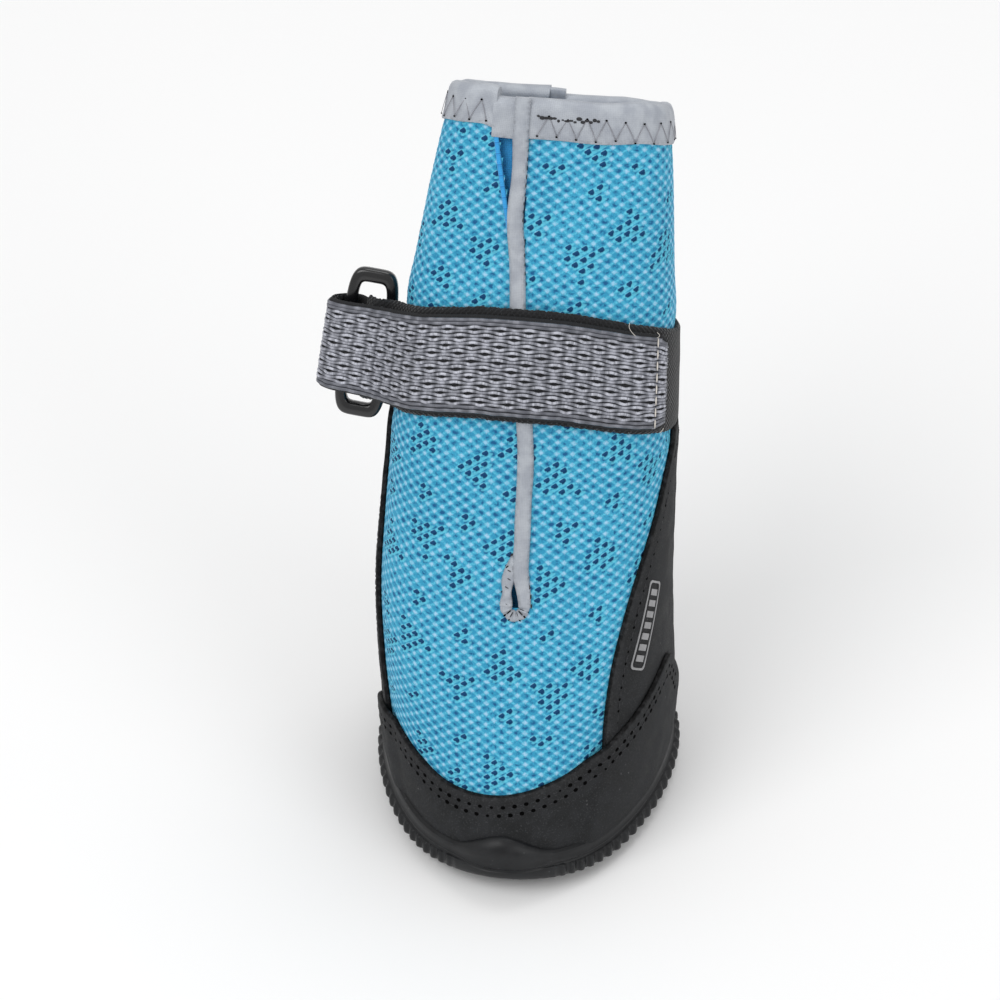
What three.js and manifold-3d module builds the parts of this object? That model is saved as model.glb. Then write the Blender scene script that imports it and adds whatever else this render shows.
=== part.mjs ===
// Dog boot for a left paw: an air-mesh bootie with a front slit, on a moulded rubber cup sole.
// Black leather wraps the toe and the heel, grey tape binds the collar and the slit, and one
// webbing strap goes round the shaft, through a plastic ring and back over itself.
//
// Millimetres. +Z is up, the toe points along -Y, +X is the boot's outer side, and the floor is
// z = 0. The origin is on the floor, on the forefoot's flat lugs under the middle of the sole.

import * as THREE from 'three';
import { mergeVertices } from 'three/addons/utils/BufferGeometryUtils.js';
import Module from 'manifold-3d';

const wasm = await Module();
wasm.setup();

// ---------------------------------------------------------------- driving sizes

const GAP = 0.3; // between pieces that touch
const CHORD_SAG = 0.15; // extra where the flat facets of two pieces don't line up
const WALL = 2.0; // air mesh with its lining
const LEATHER = 1.0;
const TAPE = 0.8; // binding tape, folded over an edge
const WEBBING = 1.1;

const SOLE_HALF_WIDTH = 30;
const SOLE_HALF_LENGTH = 36.5;
const SOLE_ROUND = 0.012;
const SOLE_EGG = 0.1; // narrows the toe
const SOLE_TOE = 2; // turns the toe towards the outer side
const LUG_HEIGHT = 1.8;
const EDGE_LUG = { count: 18, inset: 5.4, width: 4.6, length: 6.4 };
const BLOCK = { rows: [-24, -16, -8, 0, 15, 23], pitch: 8, bow: 1.2, width: 5.4, length: 4.6 };
const BLOCK_SHORT_ROW = 20; // rows further out than this have fewer blocks
const FLOOR_Z = 5.3; // inside floor of the cup
const LEDGE_TOP = 5.2;
const EDGE_CHAMFER = 0.7;
const CUP_WALL = 2.0;
const INSOLE_THICK = 1.8;
const TOE_SPRING = 3.0;
const TOE_SPRING_START = 21;
const HEEL_SPRING = 0.8;
const HEEL_SPRING_START = 31;
const SPRING_FADE_LEVEL = 45; // above this level the upper no longer follows the toe spring

const SLIT_END = 55.5; // level of the slit's lower end
const SLIT_HALF = 1.1;
const FRONT_RISE = 1.11; // mm along the front of the shaft for each mm of level
const RIGHT_LEG = 2.0; // tape on the panel beside the slit, on the +X side
const LEFT_LEG_END = 2.0; // and on the -X side, at the slit's lower end
const LEFT_LEG_TOP = 0.7;
const COLLAR_TAPE = 8.4; // height of the tape, in levels
const GUSSET_HALF = 10;

const STRAP_WIDTH = 22;
const TAIL_WIDTH = 20;
const LOOP_WIDTH = 18;
const STRAP_LEVEL = 97;
const UNDER_STAND = 1.6; // inner face of the strap's first layer, over the slit's tape
const SEAM_STAND = 0.5; // and at the back, where it is sewn down
const RING = { x: -33.7, depth: -2, width: 10.4, height: 31, bar: 2.3, end: 2.8, thick: 2.4 };

// The upper's sections, from its lower edge to the collar. level is the height of the section's
// front point, backZ that of its back point; half is the half width, round squares the oval off,
// and side moves the section towards the outer side.
const SECTIONS = [
  { level: 5.6, frontY: -33.0, backY: 33.6, backZ: 5.6, half: 26.4, round: 0.010, side: 0 },
  { level: 9.0, frontY: -33.2, backY: 34.0, backZ: 9.0, half: 27.0, round: 0.012, side: 0 },
  { level: 13.5, frontY: -32.2, backY: 34.6, backZ: 13.3, half: 27.6, round: 0.016, side: 0 },
  { level: 18.0, frontY: -30.2, backY: 35.2, backZ: 17.4, half: 28.0, round: 0.022, side: 0 },
  { level: 24.0, frontY: -27.4, backY: 35.6, backZ: 22.5, half: 28.3, round: 0.030, side: 0 },
  { level: 35.0, frontY: -22.2, backY: 36.1, backZ: 31.5, half: 28.4, round: 0.040, side: 0 },
  { level: 50.0, frontY: -15.1, backY: 36.5, backZ: 44.0, half: 28.4, round: 0.045, side: 0.2 },
  { level: 65.0, frontY: -7.9, backY: 37.2, backZ: 56.5, half: 28.1, round: 0.045, side: 0.5 },
  { level: 80.0, frontY: -0.7, backY: 38.4, backZ: 69.5, half: 27.5, round: 0.045, side: 0.9 },
  { level: 95.0, frontY: 6.5, backY: 40.0, backZ: 83.0, half: 26.8, round: 0.045, side: 1.4 },
  { level: 110.0, frontY: 13.8, backY: 41.8, backZ: 97.5, half: 25.8, round: 0.045, side: 2.0 },
  { level: 125.0, frontY: 21.0, backY: 43.8, backZ: 112.5, half: 24.2, round: 0.050, side: 2.9 },
  { level: 137.0, frontY: 26.8, backY: 45.5, backZ: 125.5, half: 22.6, round: 0.055, side: 3.7 },
  { level: 146.5, frontY: 31.4, backY: 47.0, backZ: 136.6, half: 20.8, round: 0.060, side: 4.3 },
];
// Near the sole the sections are egg shaped: egg narrows their front, and toe moves the front
// alone towards the outer side.
const TOE_SHAPE = [
  { level: 5.6, egg: 0.1, toe: 2 },
  { level: 9, egg: 0.1, toe: 2 },
  { level: 13.5, egg: 0.095, toe: 1.9 },
  { level: 18, egg: 0.085, toe: 1.7 },
  { level: 24, egg: 0.07, toe: 1.4 },
  { level: 35, egg: 0.035, toe: 0.7 },
  { level: 50, egg: 0, toe: 0 },
  { level: 65, egg: 0, toe: 0 },
];
const BOTTOM = SECTIONS[0].level;
const TOP = SECTIONS[SECTIONS.length - 1].level;

// Edges of the panels on the upper. Angles run in degrees from the front, positive to +X.
const SLIT_LINE = [
  { level: 50, angle: 3.6 },
  { level: 84, angle: 1.6 },
  { level: 110, angle: -5.6 },
  { level: 148, angle: -14.5 },
];
const QUARTER_RIGHT = [
  { level: 6, angle: 46 },
  { level: 20, angle: 44 },
  { level: 34, angle: 41 },
  { level: 46, angle: 43 },
  { level: 58, angle: 51 },
  { level: 70, angle: 66 },
  { level: 84, angle: 86 },
];
const QUARTER_LEFT = [
  { level: 6, angle: 66 },
  { level: 36, angle: 67 },
  { level: 58, angle: 72 },
  { level: 84, angle: 88 },
];
const TOE_CAP_EDGE = [
  { angle: -104, level: 11 },
  { angle: -94, level: 15.5 },
  { angle: -82, level: 20.5 },
  { angle: -66, level: 25 },
  { angle: -46, level: 23.8 },
  { angle: -24, level: 20.6 },
  { angle: 0, level: 20.4 },
  { angle: 24, level: 23.8 },
  { angle: 46, level: 29 },
  { angle: 66, level: 33 },
  { angle: 80, level: 35 },
  { angle: 88, level: 33 },
  { angle: 104, level: 21 },
  { angle: 118, level: 10.5 },
];
const STRAP_LEVELS = [
  { angle: -90, level: 94.5 },
  { angle: -50, level: 97.4 },
  { angle: 0, level: 99.6 },
  { angle: 50, level: 97.2 },
  { angle: 90, level: 94.5 },
  { angle: 180, level: 94.5 },
];
const RIM_LEVEL = 8.6; // top of the cup's side wall
const TOE_GUARD = 3.6; // how much higher it rises over the toe
const TOE_GUARD_ANGLE = 26;

// ---------------------------------------------------------------- small maths

const rad = THREE.MathUtils.degToRad;
const mix = THREE.MathUtils.lerp;
const smooth = (x, from, to) => THREE.MathUtils.smoothstep(x, from, to);
const point = (x, y, z) => new THREE.Vector3(x, y, z);

// Smooth interpolation of a table: row[value] as a function of row[key].
function lookup(table, key, value, at) {
  const last = table.length - 1;
  const x = THREE.MathUtils.clamp(at, table[0][key], table[last][key]);
  let i = 0;
  while (i < last - 1 && x > table[i + 1][key]) i += 1;
  const slope = k => {
    const a = table[Math.max(k - 1, 0)];
    const b = table[Math.min(k + 1, last)];
    return (b[value] - a[value]) / (b[key] - a[key]);
  };
  const span = table[i + 1][key] - table[i][key];
  const s = (x - table[i][key]) / span;
  const s2 = s * s;
  const s3 = s2 * s;
  return (2 * s3 - 3 * s2 + 1) * table[i][value] + (s3 - 2 * s2 + s) * span * slope(i)
    + (3 * s2 - 2 * s3) * table[i + 1][value] + (s3 - s2) * span * slope(i + 1);
}

// ---------------------------------------------------------------- the upper's own surface

// How far the sole's underside rises above the floor at a place along the boot.
function spring(y) {
  const toe = Math.max(0, -y - TOE_SPRING_START) / (SOLE_HALF_LENGTH - TOE_SPRING_START);
  const heel = Math.max(0, y - HEEL_SPRING_START) / (SOLE_HALF_LENGTH - HEEL_SPRING_START);
  return TOE_SPRING * toe * toe + HEEL_SPRING * heel * heel;
}

function sectionAt(level) {
  const section = { level };
  for (const name of ['frontY', 'backY', 'backZ', 'half', 'round', 'side']) {
    section[name] = lookup(SECTIONS, 'level', name, level);
  }
  for (const name of ['egg', 'toe']) section[name] = lookup(TOE_SHAPE, 'level', name, level);
  return section;
}

const across = (angle, round, egg) =>
  (Math.sin(angle) + round * Math.sin(3 * angle)) / (1 - round) - egg * Math.sin(2 * angle);
const along = (angle, round) => (Math.cos(angle) - round * Math.cos(3 * angle)) / (1 - round);

function bare(angle, level) {
  const s = sectionAt(THREE.MathUtils.clamp(level, BOTTOM, TOP));
  const back = (1 - along(angle, s.round)) / 2;
  const y = mix(s.frontY, s.backY, back);
  const fade = 1 - smooth(s.level, BOTTOM, SPRING_FADE_LEVEL);
  const z = mix(s.level, s.backZ, back) + spring(y) * fade;
  const side = s.side + s.toe * (1 + Math.cos(angle)) / 2;
  return point(side + s.half * across(angle, s.round, s.egg), y, z);
}

function rise(angle, level) {
  const step = 0.5;
  const low = THREE.MathUtils.clamp(level, BOTTOM + step, TOP - step);
  return bare(angle, low + step).sub(bare(angle, low - step)).normalize();
}

// A point that stands off the upper's outer face; levels past its edges run straight on.
function surface(angle, level, stand = 0) {
  const step = 0.01;
  const up = rise(angle, level);
  const round = bare(angle + step, level).sub(bare(angle - step, level));
  const out = round.cross(up).normalize();
  const past = level - THREE.MathUtils.clamp(level, BOTTOM, TOP);
  return bare(angle, level).addScaledVector(out, stand).addScaledVector(up, past);
}

// Millimetres across the front to an angle, at a level.
function frontAngle(level, mm) {
  const s = sectionAt(THREE.MathUtils.clamp(level, BOTTOM, TOP));
  return mm * (1 - s.round) / (s.half * (1 + 3 * s.round));
}

const slitAngle = (level, mm = 0) =>
  rad(lookup(SLIT_LINE, 'level', 'angle', level)) + frontAngle(level, mm);

// ---------------------------------------------------------------- meshes and solids

function solid(positions, triangles) {
  const raw = new THREE.BufferGeometry();
  raw.setAttribute('position', new THREE.Float32BufferAttribute(positions, 3));
  raw.setIndex(triangles);
  return toSolid(raw);
}

function toSolid(geometry) {
  const bareGeometry = geometry.clone();
  bareGeometry.deleteAttribute('normal');
  bareGeometry.deleteAttribute('uv');
  const merged = mergeVertices(bareGeometry, 1e-4);
  return new wasm.Manifold(new wasm.Mesh({
    numProp: 3,
    vertProperties: new Float32Array(merged.attributes.position.array),
    triVerts: new Uint32Array(merged.index.array),
  }));
}

function toGeometry(made) {
  const mesh = made.getMesh();
  const geometry = new THREE.BufferGeometry();
  geometry.setAttribute('position', new THREE.BufferAttribute(mesh.vertProperties, 3));
  geometry.setIndex(new THREE.BufferAttribute(mesh.triVerts, 1));
  return geometry;
}

// A sheet with two faces. place(u, v, side) gives its points for u and v from 0 to 1; side is 0
// on the inner face and 1 on the outer one. A ring joins u = 1 to u = 0. Seen from outside, u
// runs to +X at the front and v runs up.
function sheet(columns, rows, place, ring = false) {
  const positions = [];
  const triangles = [];
  const columnCount = ring ? columns : columns + 1;
  const at = (i, j, side) => ((i % columnCount) * (rows + 1) + j) * 2 + side;
  for (let i = 0; i < columnCount; i += 1) {
    for (let j = 0; j <= rows; j += 1) {
      for (const side of [0, 1]) {
        positions.push(...place(i / columns, j / rows, side).toArray());
      }
    }
  }
  const quad = (a, b, c, d) => triangles.push(a, b, c, a, c, d);
  for (let i = 0; i < columns; i += 1) {
    for (let j = 0; j < rows; j += 1) {
      quad(at(i, j, 1), at(i + 1, j, 1), at(i + 1, j + 1, 1), at(i, j + 1, 1));
      quad(at(i, j, 0), at(i, j + 1, 0), at(i + 1, j + 1, 0), at(i + 1, j, 0));
    }
    quad(at(i, 0, 0), at(i + 1, 0, 0), at(i + 1, 0, 1), at(i, 0, 1));
    quad(at(i, rows, 1), at(i + 1, rows, 1), at(i + 1, rows, 0), at(i, rows, 0));
  }
  for (let j = 0; j < rows && !ring; j += 1) {
    quad(at(0, j, 0), at(0, j, 1), at(0, j + 1, 1), at(0, j + 1, 0));
    quad(at(columns, j, 1), at(columns, j, 0), at(columns, j + 1, 0), at(columns, j + 1, 1));
  }
  return solid(positions, triangles);
}

// A turned solid whose profile may change with the angle. profile(angle) lists its points from
// the pole under it, out and up, and back to the pole on top.
function turned(columns, profile) {
  const rings = [];
  for (let i = 0; i < columns; i += 1) rings.push(profile(2 * Math.PI * i / columns));
  const count = rings[0].length - 2;
  const bottom = rings[0][0];
  const top = rings[0][count + 1];
  const positions = [...bottom.toArray(), ...top.toArray()];
  for (const ring of rings) {
    for (let j = 1; j <= count; j += 1) positions.push(...ring[j].toArray());
  }
  const at = (i, j) => 2 + (i % columns) * count + j;
  const triangles = [];
  for (let i = 0; i < columns; i += 1) {
    triangles.push(0, at(i + 1, 0), at(i, 0), 1, at(i, count - 1), at(i + 1, count - 1));
    for (let j = 0; j < count - 1; j += 1) {
      triangles.push(at(i, j), at(i + 1, j), at(i + 1, j + 1));
      triangles.push(at(i, j), at(i + 1, j + 1), at(i, j + 1));
    }
  }
  return solid(positions, triangles);
}

// ---------------------------------------------------------------- sole

function solePoint(angle, inset, z) {
  const x = (SOLE_HALF_WIDTH - inset) * across(angle, SOLE_ROUND, SOLE_EGG)
    + SOLE_TOE * (1 + Math.cos(angle)) / 2;
  const y = -(SOLE_HALF_LENGTH - inset) * along(angle, SOLE_ROUND);
  return point(x, y, z + spring(y));
}

// The cup's side wall is level round the boot and rises to a guard over the toe.
function rimLevel(angle) {
  const degrees = Math.abs(THREE.MathUtils.radToDeg(Math.atan2(Math.sin(angle), Math.cos(angle))));
  return RIM_LEVEL + TOE_GUARD * (1 - smooth(degrees, 0, TOE_GUARD_ANGLE));
}

function lug(x, y, width, length, turn) {
  const box = new THREE.BoxGeometry(width, length, LUG_HEIGHT + 1);
  box.rotateZ(rad(turn));
  box.translate(x, y, (LUG_HEIGHT + 1) / 2);
  const lift = box.attributes.position;
  for (let i = 0; i < lift.count; i += 1) lift.setZ(i, lift.getZ(i) + spring(lift.getY(i)));
  return toSolid(box);
}

function outsole() {
  const profile = angle => {
    const rim = rimLevel(angle);
    const inside = surface(angle, BOTTOM, GAP);
    const plateUnder = inset => {
      const p = solePoint(angle, 0, LUG_HEIGHT).multiplyScalar(inset);
      return point(p.x, p.y, LUG_HEIGHT + spring(p.y));
    };
    const floor = inset => point(inside.x * inset, inside.y * inset,
      FLOOR_Z + spring(inside.y * inset));
    return [
      point(0, 0, LUG_HEIGHT),
      plateUnder(0.6),
      plateUnder(0.82),
      solePoint(angle, EDGE_CHAMFER, LUG_HEIGHT),
      solePoint(angle, 0, LUG_HEIGHT + EDGE_CHAMFER),
      solePoint(angle, 0, LEDGE_TOP),
      surface(angle, LEDGE_TOP + 1.2, GAP + CUP_WALL),
      surface(angle, rim - 0.5, GAP + CUP_WALL * 0.8),
      surface(angle, rim, GAP + CUP_WALL * 0.5),
      surface(angle, rim, GAP),
      surface(angle, mix(BOTTOM, rim, 2 / 3), GAP),
      surface(angle, mix(BOTTOM, rim, 1 / 3), GAP),
      surface(angle, BOTTOM, GAP),
      floor(1),
      floor(0.8),
      floor(0.55),
      point(0, 0, FLOOR_Z),
    ];
  };
  let made = turned(48, profile);

  // Edge lugs round the rim of the plate, then rows of blocks under the forefoot and the heel.
  for (let i = 0; i < EDGE_LUG.count; i += 1) {
    const angle = 2 * Math.PI * (i + 0.5) / EDGE_LUG.count;
    const p = solePoint(angle, EDGE_LUG.inset, 0);
    const turn = THREE.MathUtils.radToDeg(Math.atan2(p.x, -p.y));
    made = made.add(lug(p.x, p.y, EDGE_LUG.width, EDGE_LUG.length, turn));
  }
  for (const y of BLOCK.rows) {
    const rowHalf = Math.abs(y) > BLOCK_SHORT_ROW ? 1 : 2;
    for (let k = -rowHalf; k <= rowHalf; k += 1) {
      const bowed = y + Math.abs(k) * BLOCK.bow;
      made = made.add(lug(k * BLOCK.pitch, bowed, BLOCK.width, BLOCK.length, 0));
    }
  }
  return made;
}

function insole() {
  const profile = angle => {
    const edge = surface(angle, BOTTOM + 1, -WALL - 2 * GAP);
    const under = inset => point(edge.x * inset, edge.y * inset,
      FLOOR_Z + GAP + spring(edge.y * inset));
    const over = inset => under(inset).add(point(0, 0, INSOLE_THICK));
    return [point(0, 0, FLOOR_Z + GAP), under(0.6), under(0.85), under(1), over(1),
      over(0.85), over(0.6), point(0, 0, FLOOR_Z + GAP + INSOLE_THICK)];
  };
  return turned(36, profile);
}

// ---------------------------------------------------------------- upper and its overlays

function upper() {
  const shell = sheet(48, 15, (u, v, side) => {
    const level = mix(BOTTOM, TOP, Math.pow(v, 1.25));
    return surface(2 * Math.PI * u, level, side ? 0 : -WALL);
  }, true);
  const slit = sheet(1, 16, (u, v, side) => {
    const level = mix(SLIT_END, TOP + 3, Math.pow(v, 2.6));
    const fromEnd = (level - SLIT_END) * FRONT_RISE / SLIT_HALF;
    const half = fromEnd < 1 ? SLIT_HALF * Math.sqrt(1 - (1 - fromEnd) ** 2) : SLIT_HALF;
    const mm = mix(-1, 1, u) * Math.max(half, 0.1);
    return surface(slitAngle(level, mm), level, side ? 2 : -WALL - 2);
  });
  return shell.subtract(slit);
}

// The leather toe cap runs from the sole's wall to a curved edge. Past the quarter's front
// edges it steps out to lie on top of the quarter.
function toeCap() {
  const first = TOE_CAP_EDGE[0].angle;
  const last = TOE_CAP_EDGE[TOE_CAP_EDGE.length - 1].angle;
  return sheet(36, 3, (u, v, side) => {
    const degrees = mix(first, last, u);
    const angle = rad(degrees);
    const edge = lookup(TOE_CAP_EDGE, 'angle', 'level', degrees);
    const level = mix(rimLevel(angle) + GAP, edge, v);
    const step = Math.max(smooth(degrees, 31, 39), smooth(-degrees, 54, 62));
    const low = GAP + step * (LEATHER + GAP + 2 * CHORD_SAG);
    return surface(angle, level, low + side * LEATHER);
  });
}

// The quarter is one leather panel from the front edge on one side, round the heel, to the
// front edge on the other side.
function quarter() {
  return sheet(36, 8, (u, v, side) => {
    const level = mix(RIM_LEVEL + GAP, QUARTER_RIGHT[QUARTER_RIGHT.length - 1].level, v);
    const right = lookup(QUARTER_RIGHT, 'level', 'angle', level);
    const left = lookup(QUARTER_LEFT, 'level', 'angle', level);
    const degrees = mix(right, 360 - left, u);
    return surface(rad(degrees), level, GAP + CHORD_SAG + side * LEATHER);
  });
}

// ---------------------------------------------------------------- slit and collar

// Tape folded over an edge: a row of stations from the outer face, over the edge, to the inner
// face. beyond is how far a station lies past the edge, and stand how far off the upper.
const FOLD = [
  { outer: { beyond: null, stand: GAP + TAPE }, inner: { beyond: null, stand: GAP } },
  { outer: { beyond: GAP + TAPE, stand: GAP + TAPE }, inner: { beyond: GAP, stand: GAP } },
  {
    outer: { beyond: GAP + TAPE, stand: -WALL - GAP - TAPE },
    inner: { beyond: GAP, stand: -WALL - GAP },
  },
  {
    outer: { beyond: null, stand: -WALL - GAP - TAPE },
    inner: { beyond: null, stand: -WALL - GAP },
  },
];

function collarBinding() {
  return sheet(40, FOLD.length - 1, (u, v, side) => {
    const station = FOLD[Math.round(v * (FOLD.length - 1))][side ? 'outer' : 'inner'];
    const level = station.beyond === null ? TOP - COLLAR_TAPE : TOP + station.beyond;
    const from = slitAngle(level, SLIT_HALF + RIGHT_LEG + GAP + CHORD_SAG);
    const to = 2 * Math.PI + slitAngle(level, -SLIT_HALF - LEFT_LEG_TOP - GAP - CHORD_SAG);
    return surface(mix(from, to, u), level, station.stand);
  });
}

// The slit's edge as a path: down the -X side, round the lower end, up the +X side.
function slitEdge(u) {
  const end = SLIT_END + SLIT_HALF / FRONT_RISE;
  const turn = 1 / 6; // share of the path that goes round the lower end
  const leg = (1 - turn) / 2;
  if (u < leg) return { mm: -SLIT_HALF, level: mix(TOP, end, u / leg), out: Math.PI };
  if (u > 1 - leg) return { mm: SLIT_HALF, level: mix(end, TOP, (u - 1 + leg) / leg), out: 0 };
  const out = Math.PI * (1 - (u - leg) / turn);
  return {
    mm: SLIT_HALF * Math.cos(out),
    level: end - SLIT_HALF * Math.sin(out) / FRONT_RISE,
    out,
  };
}

function throatBinding() {
  return sheet(42, FOLD.length - 1, (u, v, side) => {
    const station = FOLD[Math.round(v * (FOLD.length - 1))][side ? 'outer' : 'inner'];
    const edge = slitEdge(u);
    const leftLeg = mix(LEFT_LEG_END, LEFT_LEG_TOP, smooth(edge.level, SLIT_END, SLIT_END + 14));
    const panel = mix(RIGHT_LEG, leftLeg, smooth(edge.out, 0, Math.PI));
    const wanted = station.beyond === null ? panel : -station.beyond;
    const reach = Math.max(wanted, 0.12 - SLIT_HALF);
    const mm = edge.mm + reach * Math.cos(edge.out);
    const level = edge.level - reach * Math.sin(edge.out) / FRONT_RISE;
    return surface(slitAngle(level, mm), level, station.stand);
  });
}

// A thin tongue sewn inside the slit: it lies on the lining at its sides and bows inwards
// behind the folded tape.
function gusset() {
  return sheet(8, 11, (u, v, side) => {
    const level = mix(SLIT_END - 4, TOP - 1, v);
    const mm = mix(-GUSSET_HALF, GUSSET_HALF, u);
    const behindSlit = 1 - smooth(Math.abs(mm), 4.4, 8);
    const behindCollar = smooth(level, TOP - COLLAR_TAPE - 9, TOP - COLLAR_TAPE - 3);
    const bow = (TAPE + GAP + CHORD_SAG) * Math.max(behindSlit, behindCollar);
    const face = -WALL - GAP - bow;
    return surface(slitAngle(level, mm), level, side ? face : face - TAPE);
  });
}

// ---------------------------------------------------------------- strap, ring and loop

const SHAFT = sectionAt(STRAP_LEVEL);
const SHAFT_DEPTH = bare(0, STRAP_LEVEL).distanceTo(bare(Math.PI, STRAP_LEVEL));

// A point beside the shaft: x sideways and depth backwards from the middle of its section,
// in the section's own plane, growing and shrinking with the shaft.
function beside(x, depth, level) {
  const front = bare(0, level);
  const back = bare(Math.PI, level);
  const backwards = back.clone().sub(front).normalize();
  const middle = front.clone().add(back).multiplyScalar(0.5);
  const widthScale = sectionAt(level).half / SHAFT.half;
  const depthScale = front.distanceTo(back) / SHAFT_DEPTH;
  return middle.addScaledVector(point(1, 0, 0), x * widthScale)
    .addScaledVector(backwards, depth * depthScale);
}

// The place beside the shaft of a point that stands off it, with the strap's level there.
function onShaft(degrees, stand) {
  const front = bare(0, STRAP_LEVEL);
  const back = bare(Math.PI, STRAP_LEVEL);
  const backwards = back.clone().sub(front).normalize();
  const from = surface(rad(degrees), STRAP_LEVEL, stand)
    .sub(front.clone().add(back).multiplyScalar(0.5));
  const around = THREE.MathUtils.clamp(degrees, -90, 180);
  return point(from.x, from.dot(backwards), lookup(STRAP_LEVELS, 'angle', 'level', around));
}

// Webbing that follows a route beside the shaft; width(u) is its width along the route.
function webbing(route, steps, width, thick) {
  const path = new THREE.CatmullRomCurve3(route, false, 'centripetal');
  return sheet(steps, 2, (u, v, side) => {
    const at = path.getPointAt(u);
    const ahead = path.getTangentAt(u);
    const out = point(ahead.y, -ahead.x, 0).normalize();
    const levels = width(u) / FRONT_RISE;
    const shift = (side - 0.5) * thick;
    return beside(at.x + out.x * shift, at.y + out.y * shift, at.z + (v - 0.5) * levels);
  });
}

// From the back seam round the outer side and across the front, through the ring, and back
// across the front as the tail.
function strap() {
  const under = UNDER_STAND + WEBBING / 2;
  const sewn = SEAM_STAND + WEBBING / 2;
  const over = under + WEBBING + GAP + 0.1;
  const route = [];
  for (let degrees = 176; degrees >= -52; degrees -= 10) {
    route.push(onShaft(degrees, mix(under, sewn, smooth(degrees, 60, 130))));
  }
  const level = lookup(STRAP_LEVELS, 'angle', 'level', -62);
  const inner = RING.x + (RING.width - RING.bar) / 2;
  const outer = RING.x - (RING.width - RING.bar) / 2;
  route.push(
    point(inner + 0.7, RING.depth - 4.2, level),
    point(inner - 2.6, RING.depth - 3.9, level),
    point(RING.x - 0.8, RING.depth - 0.5, level),
    point(outer + 1.2, RING.depth + 2.3, level),
    point(outer - 1.2, RING.depth + 2.7, level),
    point(outer - 3.7, RING.depth + 1.2, level),
    point(outer - 3.9, RING.depth - 1.4, level),
    point(outer - 1.7, RING.depth - 3.4, level),
    point(RING.x - 1.8, RING.depth - 4.6, level),
    point(inner - 2.1, RING.depth - 5.8, level),
  );
  for (let degrees = -46; degrees <= 66; degrees += 8) route.push(onShaft(degrees, over));
  const roundedEnd = u => Math.sqrt(Math.max(0, 1 - Math.max(0, (u - 0.992) / 0.008) ** 2));
  const width = u => mix(STRAP_WIDTH, TAIL_WIDTH, smooth(u, 0.5, 0.62))
    - 5 * (1 - roundedEnd(u));
  return webbing(route.reverse(), 80, u => width(1 - u), WEBBING);
}

function strapRing() {
  const outline = (width, height, radius) => {
    const shape = new THREE.Shape();
    const x = width / 2 - radius;
    const y = height / 2 - radius;
    shape.absarc(x, y, radius, 0, Math.PI / 2);
    shape.absarc(-x, y, radius, Math.PI / 2, Math.PI);
    shape.absarc(-x, -y, radius, Math.PI, 1.5 * Math.PI);
    shape.absarc(x, -y, radius, 1.5 * Math.PI, 2 * Math.PI);
    return shape;
  };
  const bevel = 0.5;
  const shape = outline(RING.width - 2 * bevel, RING.height - 2 * bevel, 2.6);
  shape.holes.push(outline(RING.width - 2 * RING.bar + 2 * bevel,
    RING.height - 2 * RING.end + 2 * bevel, 1.4));
  const geometry = new THREE.ExtrudeGeometry(shape, {
    depth: RING.thick - 2 * bevel,
    bevelThickness: bevel,
    bevelSize: bevel,
    bevelSegments: 1,
    curveSegments: 4,
  });
  geometry.translate(0, 0, bevel - RING.thick / 2);
  const level = lookup(STRAP_LEVELS, 'angle', 'level', -62);
  const middle = beside(RING.x, RING.depth, level);
  const up = beside(RING.x, RING.depth, level + 5).sub(beside(RING.x, RING.depth, level - 5));
  up.normalize();
  const sideways = point(1, 0, 0).addScaledVector(up, -up.x).normalize();
  geometry.applyMatrix4(new THREE.Matrix4()
    .makeBasis(sideways, up, sideways.clone().cross(up)).setPosition(middle));
  return toSolid(geometry);
}

// A folded piece of webbing from the back of the shaft, round the ring's inner bar.
function ringLoop() {
  const thick = 0.9;
  const near = GAP + thick / 2;
  const far = near + thick + GAP;
  const bar = RING.x + (RING.width - RING.bar) / 2;
  const clear = RING.bar / 2 + GAP + 2 * CHORD_SAG + thick / 2;
  const level = lookup(STRAP_LEVELS, 'angle', 'level', -90);
  const flat = (degrees, stand) => onShaft(degrees, stand).setZ(level);
  const route = [];
  for (let degrees = -168; degrees <= -98; degrees += 10) route.push(flat(degrees, near));
  route.push(
    point(bar + clear - 0.1, RING.depth + 0.4, level),
    point(bar + clear - 0.5, RING.depth - clear + 0.5, level),
    point(bar, RING.depth - clear - 0.1, level),
    point(bar - clear + 0.3, RING.depth - clear + 0.6, level),
    point(bar - clear, RING.depth, level),
    point(bar - clear + 0.5, RING.depth + clear - 0.3, level),
    point(bar - 0.2, RING.depth + clear + 1.2, level),
  );
  for (let degrees = -108; degrees >= -168; degrees -= 10) route.push(flat(degrees, far));
  return webbing(route, 40, () => LOOP_WIDTH, thick);
}

// ---------------------------------------------------------------- the boot

const RUBBER = { color: 0x2c2e31, roughness: 0.6 };
const MESH_FABRIC = { color: 0x4fa3cf, roughness: 0.85 };
const BLACK_LEATHER = { color: 0x2f3132, roughness: 0.75 };
const GREY_TAPE = { color: 0xa4a8b0, roughness: 0.5 };
const GREY_WEBBING = { color: 0x8b8f98, roughness: 0.6 };
const BLACK_WEBBING = { color: 0x1b1c1f, roughness: 0.9 };
const BLACK_PLASTIC = { color: 0x101113, roughness: 0.25 };
const BLUE_TRICOT = { color: 0x2a83b6, roughness: 0.8 };
const FOAM = { color: 0x2a2c30, roughness: 0.95 };

const boot = new THREE.Group();

function addPiece(name, made, finish) {
  const mesh = new THREE.Mesh(toGeometry(made), new THREE.MeshStandardMaterial(finish));
  mesh.name = name;
  boot.add(mesh);
}

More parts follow.
